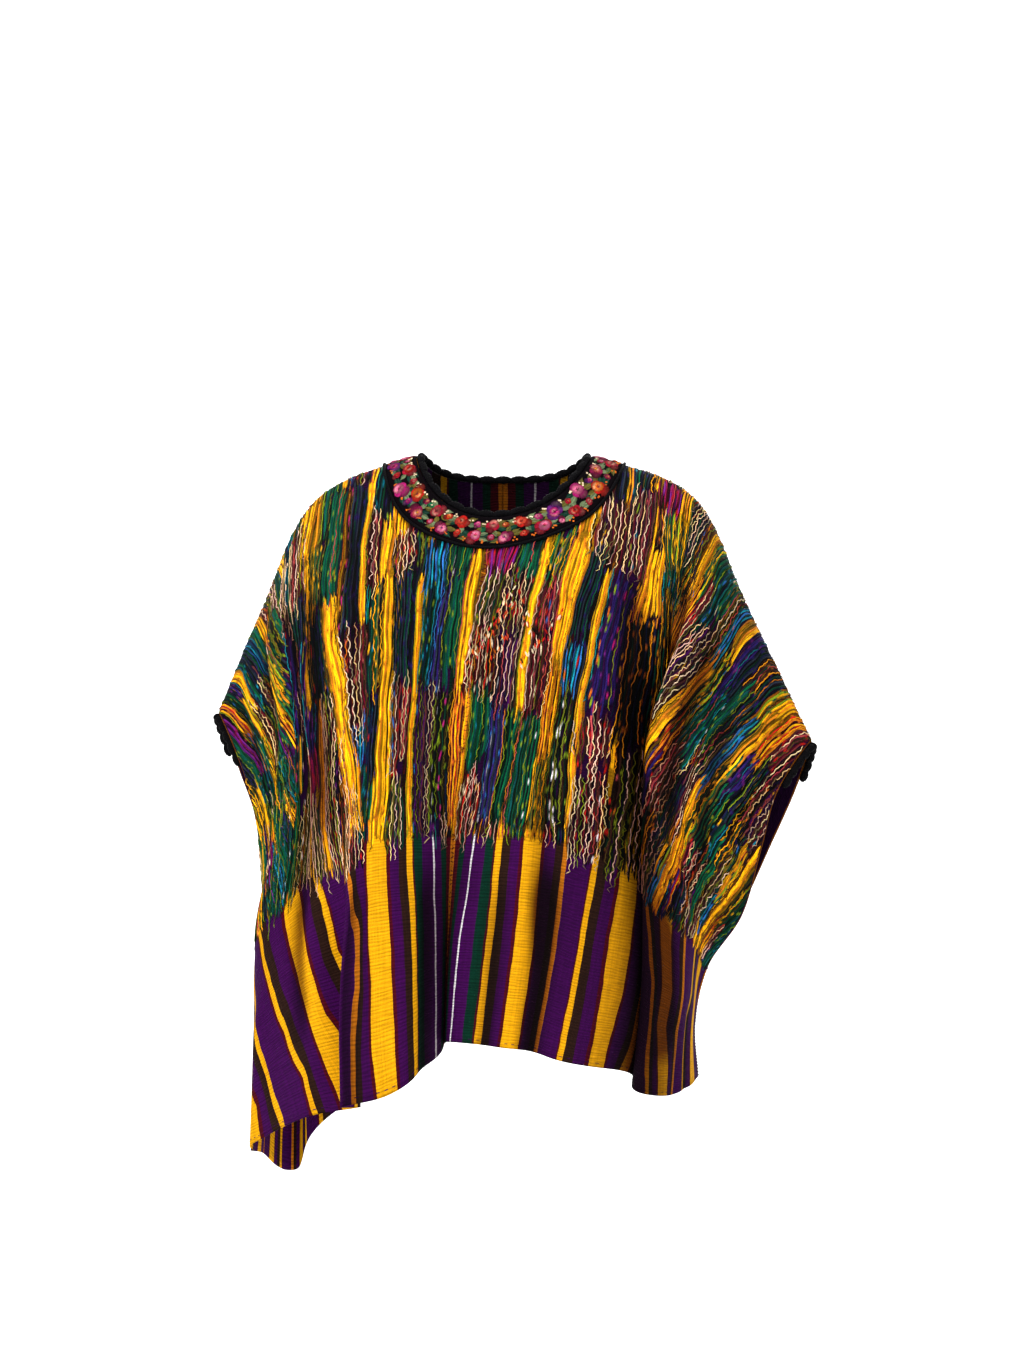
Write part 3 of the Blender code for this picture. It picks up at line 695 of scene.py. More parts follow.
def patch_thread(rng, warp_u, top, bottom, look, number, tail, light=1.0):
    """A ground thread of the brocade and, at its look's spacing, the fine line laid over it."""
    style = dict(zip(LOOK_COLUMNS, LOOKS[look]))
    down = math.copysign(1.0, bottom - top)
    half, ridge = settings().thread_width * 500.0, settings().thread_height * 1000.0
    # `light` below 1 is painted shadow on the outermost threads of a run, between it and the next
    base = np.array(yarn(style["yarns"][number % len(style["yarns"])])) * light
    # Three threads in ten are dark, and a few others carry longer flecks of a bright yarn
    base *= rng.uniform(0.08, 0.4) if rng.uniform(0, 1) < 0.3 else rng.uniform(0.8, 1.6)
    odd = rng.uniform(0, 1) < 0.07 and "gold" not in look
    accent = ACCENTS[rng.integers(len(ACCENTS))]
    fleck = np.array(yarn(accent if odd else style["fleck"])) * rng.uniform(0.6, 1.1)
    share, pace = style["share"] + 0.2 * odd, rng.uniform(26, 58)
    start, sway = rng.uniform(0, 1), rng.uniform(0, 1)

    def at_u(v):
        u = warp_u(v)
        return u + pushed(u, v)

    def ground_paint(v):
        # Two waves meet in dashes of uneven length, and the yarn's light rises and falls along it
        beat = np.sin(math.tau * (v / pace + start)) + 0.7 * np.sin(math.tau * (v / (pace * 0.37) + sway))
        worn = 1.0 + 0.32 * np.sin(v / 5.3 + 9.0 * sway) * np.sin(v / 11.0 + 5.0 * start)
        worn[0] = worn[-1] = 0.25
        return np.where((beat > 1.55 * math.cos(math.pi * share))[:, None], fleck, base) * worn[:, None]

    def ground_wander(v):
        return 0.5 * style["wave"] * np.sin(math.tau * (v / 31.0 + sway))

    threads = [
        strand(at_u, top, bottom + down * tail * 0.3, GROUND_STEP, half, ridge * rng.uniform(0.5, 1.3),
               SHOWN_CLOTH / 2 + 0.05, ground_paint, ground_wander)
    ]
    if style["spacing"] and number % style["spacing"] == 0:
        name = style["line"] if rng.uniform(0, 1) < 0.75 else ("rose", "olive", "amber", "lime")[rng.integers(4)]
        warmth = (1.0, rng.uniform(0.75, 1.0), rng.uniform(0.5, 1.0))
        colour = np.array(yarn(name)) * warmth * rng.uniform(0.55, 1.35)
        turn = number // style["spacing"] % 2 * 0.4 + rng.uniform(-0.3, 0.3)
        length, drift = rng.uniform(14.0, 27.0), rng.uniform(-2.4, 2.4)
        swell = style["wave"] * rng.uniform(0.45, 1.35)

        def line_wander(v):
            # The line swings wider and drifts further once it is past its patch, as a loose tail
            past = np.clip((v - bottom) * down / max(tail, 1.0), 0.0, 1.0)
            swing = np.sin(math.tau * (v / (length - 5.0 * past) + turn))
            kink = np.sin(math.tau * (v / (length * 0.41) + sway))
            return swell * (0.6 + 0.6 * past) * (swing + 0.75 * kink) + drift * (0.4 + past)

        def line_paint(v):
            # Painted shade: the line is darker where it dips under its neighbours
            hidden = np.sin(v / 9.0 + 9.0 * sway) * np.sin(v / 23.0 + 7.0 * start) > 0.42
            return np.where(hidden, 0.22, 1.0)[:, None] * colour

        threads.append(
            strand(at_u, top - down * rng.uniform(0.0, 6.0), bottom + down * tail, LINE_STEP, half * 0.44,
                   ridge * 0.8, SHOWN_CLOTH / 2 + ridge * 0.8, line_paint, line_wander)
        )
    return threads


def patch_threads(rng, facing):
    """Threads of the brocade between the sleeves. `facing` is 1 in front and -1 at the back, mirrored."""
    threads = []
    for row in PATCHES:
        patch = dict(zip(PATCH_COLUMNS, row))
        wide = (abs(patch["b0"] - patch["a0"]) + abs(patch["b1"] - patch["a1"])) / 2
        count = max(round(wide / THREAD_PITCH), 2)
        at_edge = patch["v1"] > LOWER_EDGE
        pointed = patch["v0"] > POINTED_BELOW and "cream" in patch["look"]
        tail = 20.0 if at_edge else 5.0
        for n in range(count):
            share = (n + 0.5) / count
            start = patch["a0"] + (patch["b0"] - patch["a0"]) * share
            finish = patch["a1"] + (patch["b1"] - patch["a1"]) * share

            def at_u(v, start=start, finish=finish, patch=patch):
                along = (np.abs(v) - patch["v0"]) / (patch["v1"] - patch["v0"])
                return facing * (start + (finish - start) * along)

            point = POINT_HEIGHT * abs(2 * share - 1) if pointed else 0.0
            top = facing * (patch["v0"] + point + rng.uniform(-9, 9))
            bottom = facing * (patch["v1"] + (rng.uniform(-9, 5) if at_edge else rng.uniform(-14, 14)))
            # Painted shadow on the outermost threads of the patch
            light = SHADOWED_EDGE_LIGHT if n in (0, count - 1) else 1.0
            threads += patch_thread(rng, at_u, top, bottom, patch["look"], n, tail * rng.uniform(0.1, 1.0), light)
    return threads


def slanting_stitches(rng, facing):
    """Short bright stitches strewn in slanting rows over the brocade below the band."""
    threads = []
    along = np.array((-2.3, 0.0, 2.3))
    for u0, v0, u1, v1 in SLANTING_ROWS:
        count = round(math.hypot(u1 - u0, v1 - v0) / 2.6)
        for n in range(count):
            share = (n + rng.uniform(-0.4, 0.4)) / count
            u = u0 + (u1 - u0) * share + rng.uniform(-2.6, 2.6)
            v = v0 + (v1 - v0) * share + rng.uniform(-4.5, 4.5)
            name = SLANTING_YARNS[rng.integers(len(SLANTING_YARNS))]
            colour = tinted(rng, name, 3, 0.45, 1.1)
            lean = along * rng.uniform(-0.5, 0.8)
            threads.append((facing * (u + lean), facing * (v + along), 1.6, (0.4, 1.0, 0.4), 0.5, colour))
    return threads


def bare_stretches(at):
    """Stretches of the warp line at flat place `at`, down to the brocade's limit, that no patch covers."""
    start = math.sqrt(BAND_RADIUS**2 - at * at) + 2.0 if abs(at) < BAND_RADIUS else 0.0
    bare = []
    for row in sorted(PATCHES):
        patch = dict(zip(PATCH_COLUMNS, row))
        if (patch["a0"] + patch["a1"]) / 2 < at < (patch["b0"] + patch["b1"]) / 2 and patch["v1"] > start:
            if patch["v0"] > start + SHORTEST_RUN:
                bare.append((start, patch["v0"]))
            start = patch["v1"]
    return bare + [(start, BROCADE_DROP)] if start < BROCADE_DROP - SHORTEST_RUN else bare


def ground_threads(rng, facing):
    """Threads between the patches, with the gold warp stripes left to show as gold."""
    threads = []
    for line, at in enumerate(np.arange(*GROUND_REACH, THREAD_PITCH)):
        block, inside = divmod(line, BLOCK_THREADS)
        # Painted shadow on the outermost thread of each block
        light = 1.0 if inside else SHADOWED_EDGE_LIGHT

        def at_u(v, at=at):
            return np.full(v.shape, facing * at)

        for start, stop in bare_stretches(at):
            v, piece = start, 0
            while v < stop - 6.0:
                # Lengths and looks follow the block, so that its threads change together
                end = min(v + 44.0 + 11.0 * ((block * 5 + piece * 3) % 7) + rng.uniform(-7, 7), stop)
                look = GROUND_LOOKS[(block * 3 + piece * 7) % len(GROUND_LOOKS)]
                place = leaning(np.array((at,)), np.array(((v + end) / 2,)))[0] if facing > 0 else at
                if warp_yarn(place) in ("gold", "amber"):
                    look = "gold"
                tail = rng.uniform(2, 18) if end > LOWER_EDGE else 2.0
                threads += patch_thread(rng, at_u, facing * v, facing * end, look, line, tail, light)
                v, piece = end + 0.8, piece + 1
    return threads


def sleeve_threads(rng, side, facing):
    """Threads of the slanting brocade on one sleeve, streak by streak out to the selvage."""
    slant = SLANT[side]
    threads = []
    last_u = HALF_WIDTH - EDGE_MARGIN
    lines = int((last_u + slant * BROCADE_DROP - SLEEVE_START) / THREAD_PITCH)
    for line in range(lines):
        at_fold = SLEEVE_START + line * THREAD_PITCH
        band = int(at_fold // STREAK)
        # Painted shadow on the first thread of each streak
        light = SHADOWED_EDGE_LIGHT if int((at_fold - THREAD_PITCH) // STREAK) < band else 1.0
        first = max((at_fold - last_u) / slant, 0.0)
        final = min((at_fold - SLEEVE_INNER[side * facing]) / slant, BROCADE_DROP + rng.uniform(-8, 6))

        def at_u(v, at_fold=at_fold):
            return side * np.minimum(at_fold - slant * np.abs(v), last_u)

        v, piece = first, 0
        while v < final - 10.0:
            # Lengths and looks follow the streak, so that its threads change together
            run = 55.0 + 75.0 * ((band * 7 + piece * 5) % 11) / 11
            stop = min(v + run + rng.uniform(-16, 16), final)
            looks = SLEEVE_LOOKS[side]
            look = looks[(band * 5 + piece * 8) % len(looks)]
            tail = rng.uniform(0.5, 6)
            threads += patch_thread(rng, at_u, facing * v, facing * stop, look, line, tail, light)
            v, piece = stop + 0.6, piece + 1
    return threads


def polar(radius, turn, u=0.0, v=0.0):
    """The flat place at that distance and turn from (u, v)."""
    return u + radius * math.sin(turn), v + radius * math.cos(turn)


def rose(rng, at_u, at_v, size, outer, inner, heart):
    """An embroidered rosebud: outer petals, inner petals folded to one side, and a heart, in satin stitch."""
    threads = []
    tilt = rng.uniform(0, math.tau)
    for name, (count, start, end, rise, stitches) in zip((outer, inner), PETAL_RINGS):
        aside = rise * 0.34 * size
        for petal in range(count):
            centre = tilt + math.tau * (petal + rng.uniform(-0.14, 0.14)) / count + rise
            reach = size * end * rng.uniform(0.80, 1.06) * (1 + 0.14 * math.cos(2 * (centre - tilt)))
            tone = 0.95 + 0.6 * math.cos(centre - tilt) * rng.uniform(0.5, 1.0)
            fall = np.array((0.35, 0.7, 1.0, 0.7) if petal % 2 else (0.9, 1.0, 0.5, 0.3))
            light = rng.uniform(0.0, 0.55) * rise
            for n in range(stitches):
                side = (n - (stitches - 1) / 2) / (stitches / 2)
                angle = centre + side * math.pi / count * 1.12
                along = np.linspace(size * start, reach * (1 - 0.26 * side * side), 4)
                u = at_u + along * np.sin(angle) + aside * math.sin(tilt)
                v = at_v + along * np.cos(angle) + aside * math.cos(tilt)
                colour = np.array(yarn(name)) * (tone * fall)[:, None]
                colour[2 - petal % 2] += np.array(yarn("cream")) * light * (1 - abs(side))
                wide = math.pi / count / stitches * 1.25 * along + 0.1
                lift = BAND_TOP + rise + 0.25 * petal / count + 0.5 * np.sin(np.linspace(0.3, 2.8, 4))
                threads.append((u, v, lift, wide, 0.4, colour * rng.uniform(0.7, 1.2)))
    for n in range(2):
        angle = tilt + 1.3 + n * 0.5
        along = np.linspace(-size * 0.20, size * 0.16, 3)
        u = at_u + along * math.sin(angle) + (0.2 + 0.16 * n) * size * math.sin(tilt)
        v = at_v + along * math.cos(angle) + (0.2 + 0.16 * n) * size * math.cos(tilt)
        threads.append((u, v, BAND_TOP + 1.2, size * 0.05, 0.4, tinted(rng, heart, 3, 0.4, 0.9)))
    return threads


def leaf(rng, at_u, at_v, angle, length, name):
    """A satin-stitched leaf, its stitches lying along it and drawn to a point."""
    threads = []
    for n in range(5):
        side = (n - 2) / 2
        along = np.linspace(0.0, length * (1 - 0.18 * abs(side)), 5)
        bow = side * LEAF_WIDTH / 2 * np.sin(np.pi * np.linspace(0.08, 0.96, 5))
        u = at_u + along * math.sin(angle) + bow * math.cos(angle)
        v = at_v + along * math.cos(angle) - bow * math.sin(angle)
        colour = tinted(rng, name, 5, 0.6, 1.6)
        colour[2:] += 0.02 if n == 2 else 0.0
        half = LEAF_WIDTH * 0.16 * np.array((0.6, 1.0, 1.1, 0.9, 0.3))
        threads.append((u, v, BAND_TOP + 0.05, half, 0.35, colour))
    return threads


def knots(rng, at_u, at_v, spread, name):
    """A few small knotted buds beside a rose."""
    threads = []
    along = np.array((-0.9, 0.0, 0.9))
    for _ in range(3):
        u, v = at_u + rng.uniform(-spread, spread), at_v + rng.uniform(-spread, spread)
        colour = tinted(rng, name, 3, 0.7, 1.2)
        threads.append((u + along, v + along * 0.3, BAND_TOP + 0.1, (0.5, 1.0, 0.5), 0.9, colour))
    return threads


def band_flowers():
    """Two staggered rows of roses round the flower band, with a bud and leaves opposite each."""
    rng = np.random.default_rng(ROSE_SEED)
    threads = []
    count = settings().rose_count
    for n in range(count):
        turn = math.tau * (n + rng.uniform(-0.12, 0.12)) / count
        *yarns, leaves = ROSES[n % len(ROSES)]
        radius, opposite = ROSE_RADII[n % 2] + rng.uniform(-0.8, 0.8), ROSE_RADII[1 - n % 2]
        place = polar(radius, turn)
        for swing, length in LEAF_SPRAY:
            angle = turn + swing + rng.uniform(-0.2, 0.2)
            start = polar(5.5, angle, *place)
            tip = math.hypot(*polar(length, angle, *start))
            if NECK_RADIUS + 1 < tip < BAND_RADIUS - 3:
                green = (leaves, "sage", "deep_green", "olive")[rng.integers(4)]
                threads += leaf(rng, *start, angle, length, green)
        bud_yarns = ROSES[(n * 4 + 3) % len(ROSES)][:3]
        threads += rose(rng, *polar(opposite, turn), rng.uniform(3.6, 4.8), *bud_yarns)
        threads += rose(rng, *place, rng.uniform(8.0, 9.6), *yarns)
        between = turn + math.pi / count
        for radius, name in ((ROSE_RADII[0] - 4.0, "cream"), (ROSE_RADII[1] + 4.0, "orange")):
            threads += knots(rng, *polar(radius, between), 2.4, name)
    return threads


def cord(name, lines, finish, slot, node=None, closed=False):
    """Round cords along lines. A line is its points in metres and its half width at each, in millimetres."""
    curve = bpy.data.curves.new(name, "CURVE")
    curve.dimensions = "3D"
    curve.bevel_depth = 0.001
    curve.bevel_resolution = 3
    curve.use_fill_caps = not closed
    for points, widths in lines:
        spline = curve.splines.new("POLY")
        spline.points.add(len(points) - 1)
        spline.use_cyclic_u = closed
        spline.points.foreach_set("co", np.concatenate((points, np.ones((len(points), 1))), 1).ravel())
        spline.points.foreach_set("radius", widths)
    obj = show(curve, name, finish, slot)
    if node:
        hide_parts(node)
    return obj


def scallop_widths(phase):
    """Half widths of a crocheted scallop edging: full lobes with a fine ripple of its loops."""
    lobe = np.abs(np.sin(math.pi * phase)) ** 0.55
    return SCALLOP_THIN + (SCALLOP_FAT - SCALLOP_THIN) * lobe + 0.16 * np.sin(math.tau * phase * 5)


def ring_points(radius, turn, lift):
    """Points on the worn cloth along rings round the neck."""
    u, v = radius * np.sin(turn), radius * np.cos(turn)
    return surface(u, v, lift)


def selvage(side, v, out, lift=0.0):
    """Points `out` millimetres beyond the panel's edge at drops v, square to the edge."""
    edge = np.full(v.shape, side * (HALF_WIDTH - SIDE_SEAM_INSET))
    at = cloth(edge, v)
    inside = at - cloth(edge - side * 6.0, v)
    along = unit(cloth(edge, v + 1.0) - cloth(edge, v - 1.0))
    away = unit(inside - along * np.sum(inside * along, 1)[:, None])
    return at + away * (out * 0.001)[:, None] + outward(edge, v) * (lift * 0.001)


def wire(tree, kind, values=None, **facts):
    """A shader node with its settings and its inputs, each a value or another node's output."""
    node = tree.nodes.new("ShaderNode" + kind)
    for name, value in facts.items():
        setattr(node, name, value)
    for name, value in (values or {}).items():
        if isinstance(value, bpy.types.NodeSocket):
            tree.links.new(value, node.inputs[name])
        else:
            node.inputs[name].default_value = value
    return node


def sums(tree, operation, *values):
    """The result of a Math node."""
    return wire(tree, "Math", dict(enumerate(values)), operation=operation).outputs[0]


def blend(tree, share, low, high, mode="MIX"):
    """The colour of a Mix node."""
    node = tree.nodes.new("ShaderNodeMix")
    node.data_type = "RGBA"
    node.blend_type = mode
    for socket, value in ((0, share), (6, low), (7, high)):
        if isinstance(value, bpy.types.NodeSocket):
            tree.links.new(value, node.inputs[socket])
        else:
            node.inputs[socket].default_value = value
    return node.outputs[2]


def shaded(tree, colour, by):
    """A colour multiplied by another, or by a value."""
    return blend(tree, 1.0, colour, by, "MULTIPLY")


def ranged(tree, value, span, into):
    """A value carried over from one span of numbers into another."""
    facts = {"Value": value, "From Min": span[0], "From Max": span[1], "To Min": into[0], "To Max": into[1]}
    return wire(tree, "MapRange", facts).outputs[0]


def noise(tree, at, scale, detail=3.0):
    """The value of a Noise Texture."""
    return wire(tree, "TexNoise", {"Vector": at, "Scale": scale, "Detail": detail}).outputs[0]


def weave_noise(tree, weave, across, down, detail=3.0):
    """Noise that follows the weave, at its own scale across the warp and down it."""
    at = wire(tree, "Mapping", {"Vector": weave, "Scale": (across, down, 0.0)}).outputs[0]
    return noise(tree, at, 1.0, detail)


def object_place(tree):
    """The place on the object itself."""
    return wire(tree, "TexCoord").outputs["Object"]


def start_finish(name, roughness, gloss, sheen, tint):
    """A new material with its Principled shader set for cloth."""
    made = bpy.data.materials.new(name)
    made.use_nodes = True
    tree = made.node_tree
    shader = tree.nodes["Principled BSDF"]
    shader.inputs["Roughness"].default_value = roughness
    shader.inputs["Specular IOR Level"].default_value = gloss
    shader.inputs["Sheen Weight"].default_value = sheen
    shader.inputs["Sheen Roughness"].default_value = 0.45
    shader.inputs["Sheen Tint"].default_value = (*tint, 1.0)
    return made, tree, shader


def coat(tree, shader, colour, height, distance):
    """Gives a shader its colour and its relief."""
    tree.links.new(colour, shader.inputs["Base Color"])
    bump = wire(tree, "Bump", {"Height": height, "Distance": distance, "Strength": 1.0})
    tree.links.new(bump.outputs[0], shader.inputs["Normal"])


def stripe_ramp(tree, at, stripes, start, end):
    """A colour ramp of warp stripes between two distances from the join."""
    ramp = tree.nodes.new("ShaderNodeValToRGB")
    ramp.color_ramp.interpolation = "CONSTANT"
    tree.links.new(ranged(tree, at, (start, end), (0.0, 1.0)), ramp.inputs[0])
    place = start
    for n, (name, wide) in enumerate(stripes):
        spot = (place - start) / (end - start)
        stop = ramp.color_ramp.elements[0] if n == 0 else ramp.color_ramp.elements.new(spot)
        stop.position = spot
        stop.color = (*yarn(name), 1.0)
        place += wide
    ramp.color_ramp.elements.remove(ramp.color_ramp.elements[-1])
    return ramp.outputs[0]


def woven_finish(name):
    """Handwoven cotton: warp stripes, ribbed by a thick weft, with the thread colour uneven along each warp."""
    made, tree, shader = start_finish(name, 0.85, 0.06, 0.0, (0.5, 0.4, 0.45))
    weave = wire(tree, "Attribute", attribute_name="weave").outputs["Vector"]
    warp, weft, deep = wire(tree, "SeparateXYZ", {"Vector": weave}).outputs
    drift = sums(tree, "SUBTRACT", weave_noise(tree, weave, 0.12, 0.03), 0.5)
    place = sums(tree, "ADD", sums(tree, "ABSOLUTE", warp), sums(tree, "MULTIPLY", drift, 2.6))
    split = sum(wide for _, wide in STRIPES[:STRIPE_SPLIT])
    near = stripe_ramp(tree, place, STRIPES[:STRIPE_SPLIT], 0.0, split)
    far = stripe_ramp(tree, place, STRIPES[STRIPE_SPLIT:], split, HALF_WIDTH)
    colour = blend(tree, sums(tree, "GREATER_THAN", place, split), near, far)
    uneven = weave_noise(tree, weave, 0.5, 0.012)
    colour = shaded(tree, colour, ranged(tree, uneven, (0.3, 0.7), (0.84, 1.12)))
    bent = sums(tree, "ADD", weft, sums(tree, "MULTIPLY", weave_noise(tree, weave, 0.03, 0.10, 2.0), 6.0))
    rib = sums(tree, "SINE", sums(tree, "MULTIPLY", bent, math.tau / (settings().rib_pitch * 1000.0)))
    flecks = weave_noise(tree, weave, 0.05, 0.9)
    ribs = sums(tree, "ADD", sums(tree, "MULTIPLY", rib, 0.14), flecks)
    colour = shaded(tree, colour, ranged(tree, ribs, (0.3, 0.65), (0.68, 1.1)))
    # Painted shade: `deep`, the weave's third part, darkens the colour towards HOLLOW_SHADE in the troughs and valleys
    colour = blend(tree, deep, colour, shaded(tree, colour, (*HOLLOW_SHADE, 1.0)))
    # Painted shadow: the cloth under the brocade is darkened to 0.35, as shade in the gaps between its threads
    colour = shaded(tree, colour, ranged(tree, sums(tree, "ABSOLUTE", weft), BROCADE_SHADOW_DROPS, (0.35, 1.0)))
    warps = sums(tree, "SINE", sums(tree, "MULTIPLY", warp, math.tau / WARP_PITCH))
    height = sums(tree, "ADD", sums(tree, "MULTIPLY", rib, 0.5), sums(tree, "MULTIPLY", warps, 0.22))
    coat(tree, shader, colour, sums(tree, "ADD", height, flecks), 0.0005)
    return made


def thread_finish(name, grain):
    """Soft twisted yarn in the colour of each thread, with fuzz of that scale."""
    made, tree, shader = start_finish(name, 0.62, 0.05, 0.0, (0.8, 0.75, 0.7))
    paint = wire(tree, "Attribute", attribute_name="thread").outputs["Color"]
    fuzz = noise(tree, object_place(tree), grain)
    colour = shaded(tree, paint, ranged(tree, fuzz, (0.3, 0.7), (0.6, 1.35)))
    coat(tree, shader, colour, fuzz, 0.0006)
    return made


def velvet_finish(name):
    """Black velvet with a soft pile."""
    made, tree, shader = start_finish(name, 0.9, 0.02, 0.02, (0.35, 0.28, 0.32))
    pile = noise(tree, object_place(tree), 900.0, 2.0)
    colour = blend(tree, pile, (0.001, 0.0005, 0.001, 1.0), (0.004, 0.0025, 0.0035, 1.0))
    coat(tree, shader, colour, pile, 0.0005)
    return made


def edging_finish(name):
    """Black crocheted cotton: fine loops wound round the cord, with painted shade between them."""
    made, tree, shader = start_finish(name, 0.7, 0.05, 0.0, (0.5, 0.5, 0.55))
    spot = object_place(tree)
    loops = wire(tree, "TexVoronoi", {"Vector": spot, "Scale": 620.0}, feature="F1").outputs["Distance"]
    # Painted shade: the black is a little darker between the loops than on their tops
    colour = blend(tree, loops, (0.0035, 0.003, 0.004, 1.0), (0.0005, 0.0005, 0.001, 1.0))
    height = sums(tree, "SUBTRACT", sums(tree, "MULTIPLY", noise(tree, spot, 1400.0, 2.0), 0.5), loops)
    coat(tree, shader, colour, height, 0.0012)
    return made


def pale_finish(name, shade):
    """Plain matt paint for the studio."""
    made = bpy.data.materials.new(name)
    made.use_nodes = True
    shader = made.node_tree.nodes["Principled BSDF"]
    shader.inputs["Base Color"].default_value = (shade, shade, shade, 1.0)
    shader.inputs["Roughness"].default_value = 0.9
    return made


def kept(name, make, *facts):
    """The material of that name, made once."""
    return bpy.data.materials.get(name) or make(name, *facts)


class HuipilSettings(bpy.types.PropertyGroup):
    """Sizes and colours that a user would change"""

    rib_pitch: bpy.props.FloatProperty(
        name="Rib Pitch", description="Distance between weft ribs of the plain cloth",
        default=0.0033, min=0.001, max=0.01, unit="LENGTH",
    )
    thread_width: bpy.props.FloatProperty(
        name="Thread Width", description="Width of a brocade thread",
        default=0.0019, min=0.0008, max=0.006, unit="LENGTH",
    )
    thread_height: bpy.props.FloatProperty(
        name="Thread Height", description="How far a brocade thread stands off the cloth",
        default=0.0009, min=0.0002, max=0.003, unit="LENGTH",
    )
    rose_count: bpy.props.IntProperty(
        name="Roses", description="Roses embroidered round the flower band", default=40, min=8, max=48,
    )
    scallop_pitch: bpy.props.FloatProperty(
        name="Scallop Pitch", description="Length of one scallop of the neck edging",
        default=0.016, min=0.006, max=0.04, unit="LENGTH",
    )
    violet: bpy.props.FloatVectorProperty(
        name="Violet Yarn", description="Ground colour of the woven panels",
        default=YARNS["violet"], subtype="COLOR", size=3, min=0.0, max=1.0,
    )
    gold: bpy.props.FloatVectorProperty(
        name="Gold Yarn", description="Colour of the wide warp stripes",
        default=YARNS["gold"], subtype="COLOR", size=3, min=0.0, max=1.0,
    )


class HUIPIL_OT_panels(bpy.types.Operator):
    """Weave the two striped panels"""

    bl_idname = "huipil.panels"
    bl_label = "Woven Panels"

    def execute(self, context):
        finish = kept("striped_cotton", woven_finish)
        for name, side in (("panel_right", -1), ("panel_left", 1)):
            panel = woven_sheet(name, side, COLUMNS, ROWS, 5, 0.0, SHOWN_CLOTH, finish, "woven_cotton")
        return {"FINISHED"}


class HUIPIL_OT_brocade(bpy.types.Operator):
    """Lay the brocade threads and their loose tails over the upper half of the panels"""

    bl_idname = "huipil.brocade"
    bl_label = "Brocade"

    def execute(self, context):
        finish = kept("brocade_yarn", thread_finish, THICK_YARN)
        for facing, place in ((1, "front"), (-1, "back")):
            rng = np.random.default_rng(BROCADE_SEED + facing)
            middle = ground_threads(rng, facing) + patch_threads(rng, facing) + slanting_stitches(rng, facing)
            lay_threads("brocade_" + place, middle, finish, "woven_cotton")
            for side, hand in ((-1, "right"), (1, "left")):
                threads = sleeve_threads(rng, side, facing)
                lay_threads("brocade_" + place + "_sleeve_" + hand, threads, finish, "woven_cotton")
        return {"FINISHED"}


class HUIPIL_OT_flower_band(bpy.types.Operator):
    """Sew on the velvet band and embroider its roses"""

    bl_idname = "huipil.flower_band"
    bl_label = "Flower Band"

    def execute(self, context):
        lift = CLOTH / 2 + SEAM_GAP + BAND_WALL / 2
        velvet = kept("band_velvet", velvet_finish)
        woven_sheet("neck_band", 0, BAND_STEPS, BAND_STEPS, 6, lift, BAND_WALL, velvet, "flower_band")
        silk = kept("embroidery_yarn", thread_finish, FINE_YARN)
        lay_threads("band_roses", band_flowers(), silk, "flower_band")
        return {"FINISHED"}


class HUIPIL_OT_edgings(bpy.types.Operator):
    """Finish the neck, the band and the sleeve openings with black edgings"""

    bl_idname = "huipil.edgings"
    bl_label = "Black Edgings"

    def execute(self, context):
        black = kept("black_cotton", edging_finish)
        turn = np.linspace(0, math.tau, PIPING_STEPS, endpoint=False)
        piping = ring_points(BAND_RADIUS + PIPING_RADIUS, turn, CLOTH / 2 + SEAM_GAP + PIPING_RADIUS)
        widths = np.full(PIPING_STEPS, PIPING_HALF)
        cord("band_piping", [(piping, widths)], black, "black_edging", "band_piping", True)
        outer = NECK_RADIUS - SCALLOP_INSET
        count = round(math.tau * outer / (settings().scallop_pitch * 1000.0))
        phase = np.linspace(0, count, count * SCALLOP_STEPS, endpoint=False)
        widths = scallop_widths(phase)
        rim = ring_points(outer - widths, math.tau * phase / count, CLOTH / 2)
        cord("neck_scallops", [(rim, widths)], black, "black_edging", "neck_scallops", True)
        length = ARM_TRIM_FRONT + ARM_TRIM_BACK
        count = round(length / ARM_SCALLOP_PITCH)
        phase = np.linspace(0, count, count * SCALLOP_STEPS + 1)
        widths = scallop_widths(phase)
        for name, side in (("arm_trim_right", -1), ("arm_trim_left", 1)):
            line = selvage(side, length * phase / count - ARM_TRIM_BACK, widths + ARM_TRIM_GAP)
            cord(name, [(line, widths)], black, "black_edging", name)
        return {"FINISHED"}


class HUIPIL_OT_seams(bpy.types.Operator):
    """Sew the centre join, the side seams and the hems"""

    bl_idname = "huipil.seams"
    bl_label = "Seams"

    def execute(self, context):
        rng = np.random.default_rng(SEAM_SEED)
        finish = kept("embroidery_yarn", thread_finish, FINE_YARN)
        threads = []
        for facing in (1, -1):
            for n, drop in enumerate(np.arange(*JOIN_STITCHES)):
                u = np.linspace(-2.6, 2.6, 4)
                v = facing * (drop + np.linspace(-0.9, 0.9, 4) * (1 if n % 2 else -1))
                colour = tinted(rng, "wine" if n % 5 else "amber", 4, 0.7, 1.2)
                threads.append((u, v, SHOWN_CLOTH / 2 + 0.1, 0.55, 0.55, colour))
            for start in np.arange(*HEM_STITCHES):
                u, v = start + np.linspace(0, 3.2, 3), facing * (DROP - HEM_MARGIN)
                colour = tinted(rng, "violet", 3, 0.6, 1.0)
                threads.append((u, v, SHOWN_CLOTH / 2 + 0.05, 0.4, 0.3, colour))
        lay_threads("seam_stitches", threads, finish, "woven_cotton")
        black = kept("black_cotton", edging_finish)
        stitches = []
        for side in (-1, 1):
            for drop in np.arange(*SIDE_STITCHES):
                front = selvage(side, np.array((drop, drop)), np.array((-4.5, -0.2)), 1.0)
                back = selvage(side, np.array((-drop - 2.0, -drop - 2.0)), np.array((-0.2, -4.5)), 1.0)
                stitches.append((np.concatenate((front, back)), np.full(4, 0.55)))
        cord("side_stitches", stitches, black, "woven_cotton")
        return {"FINISHED"}


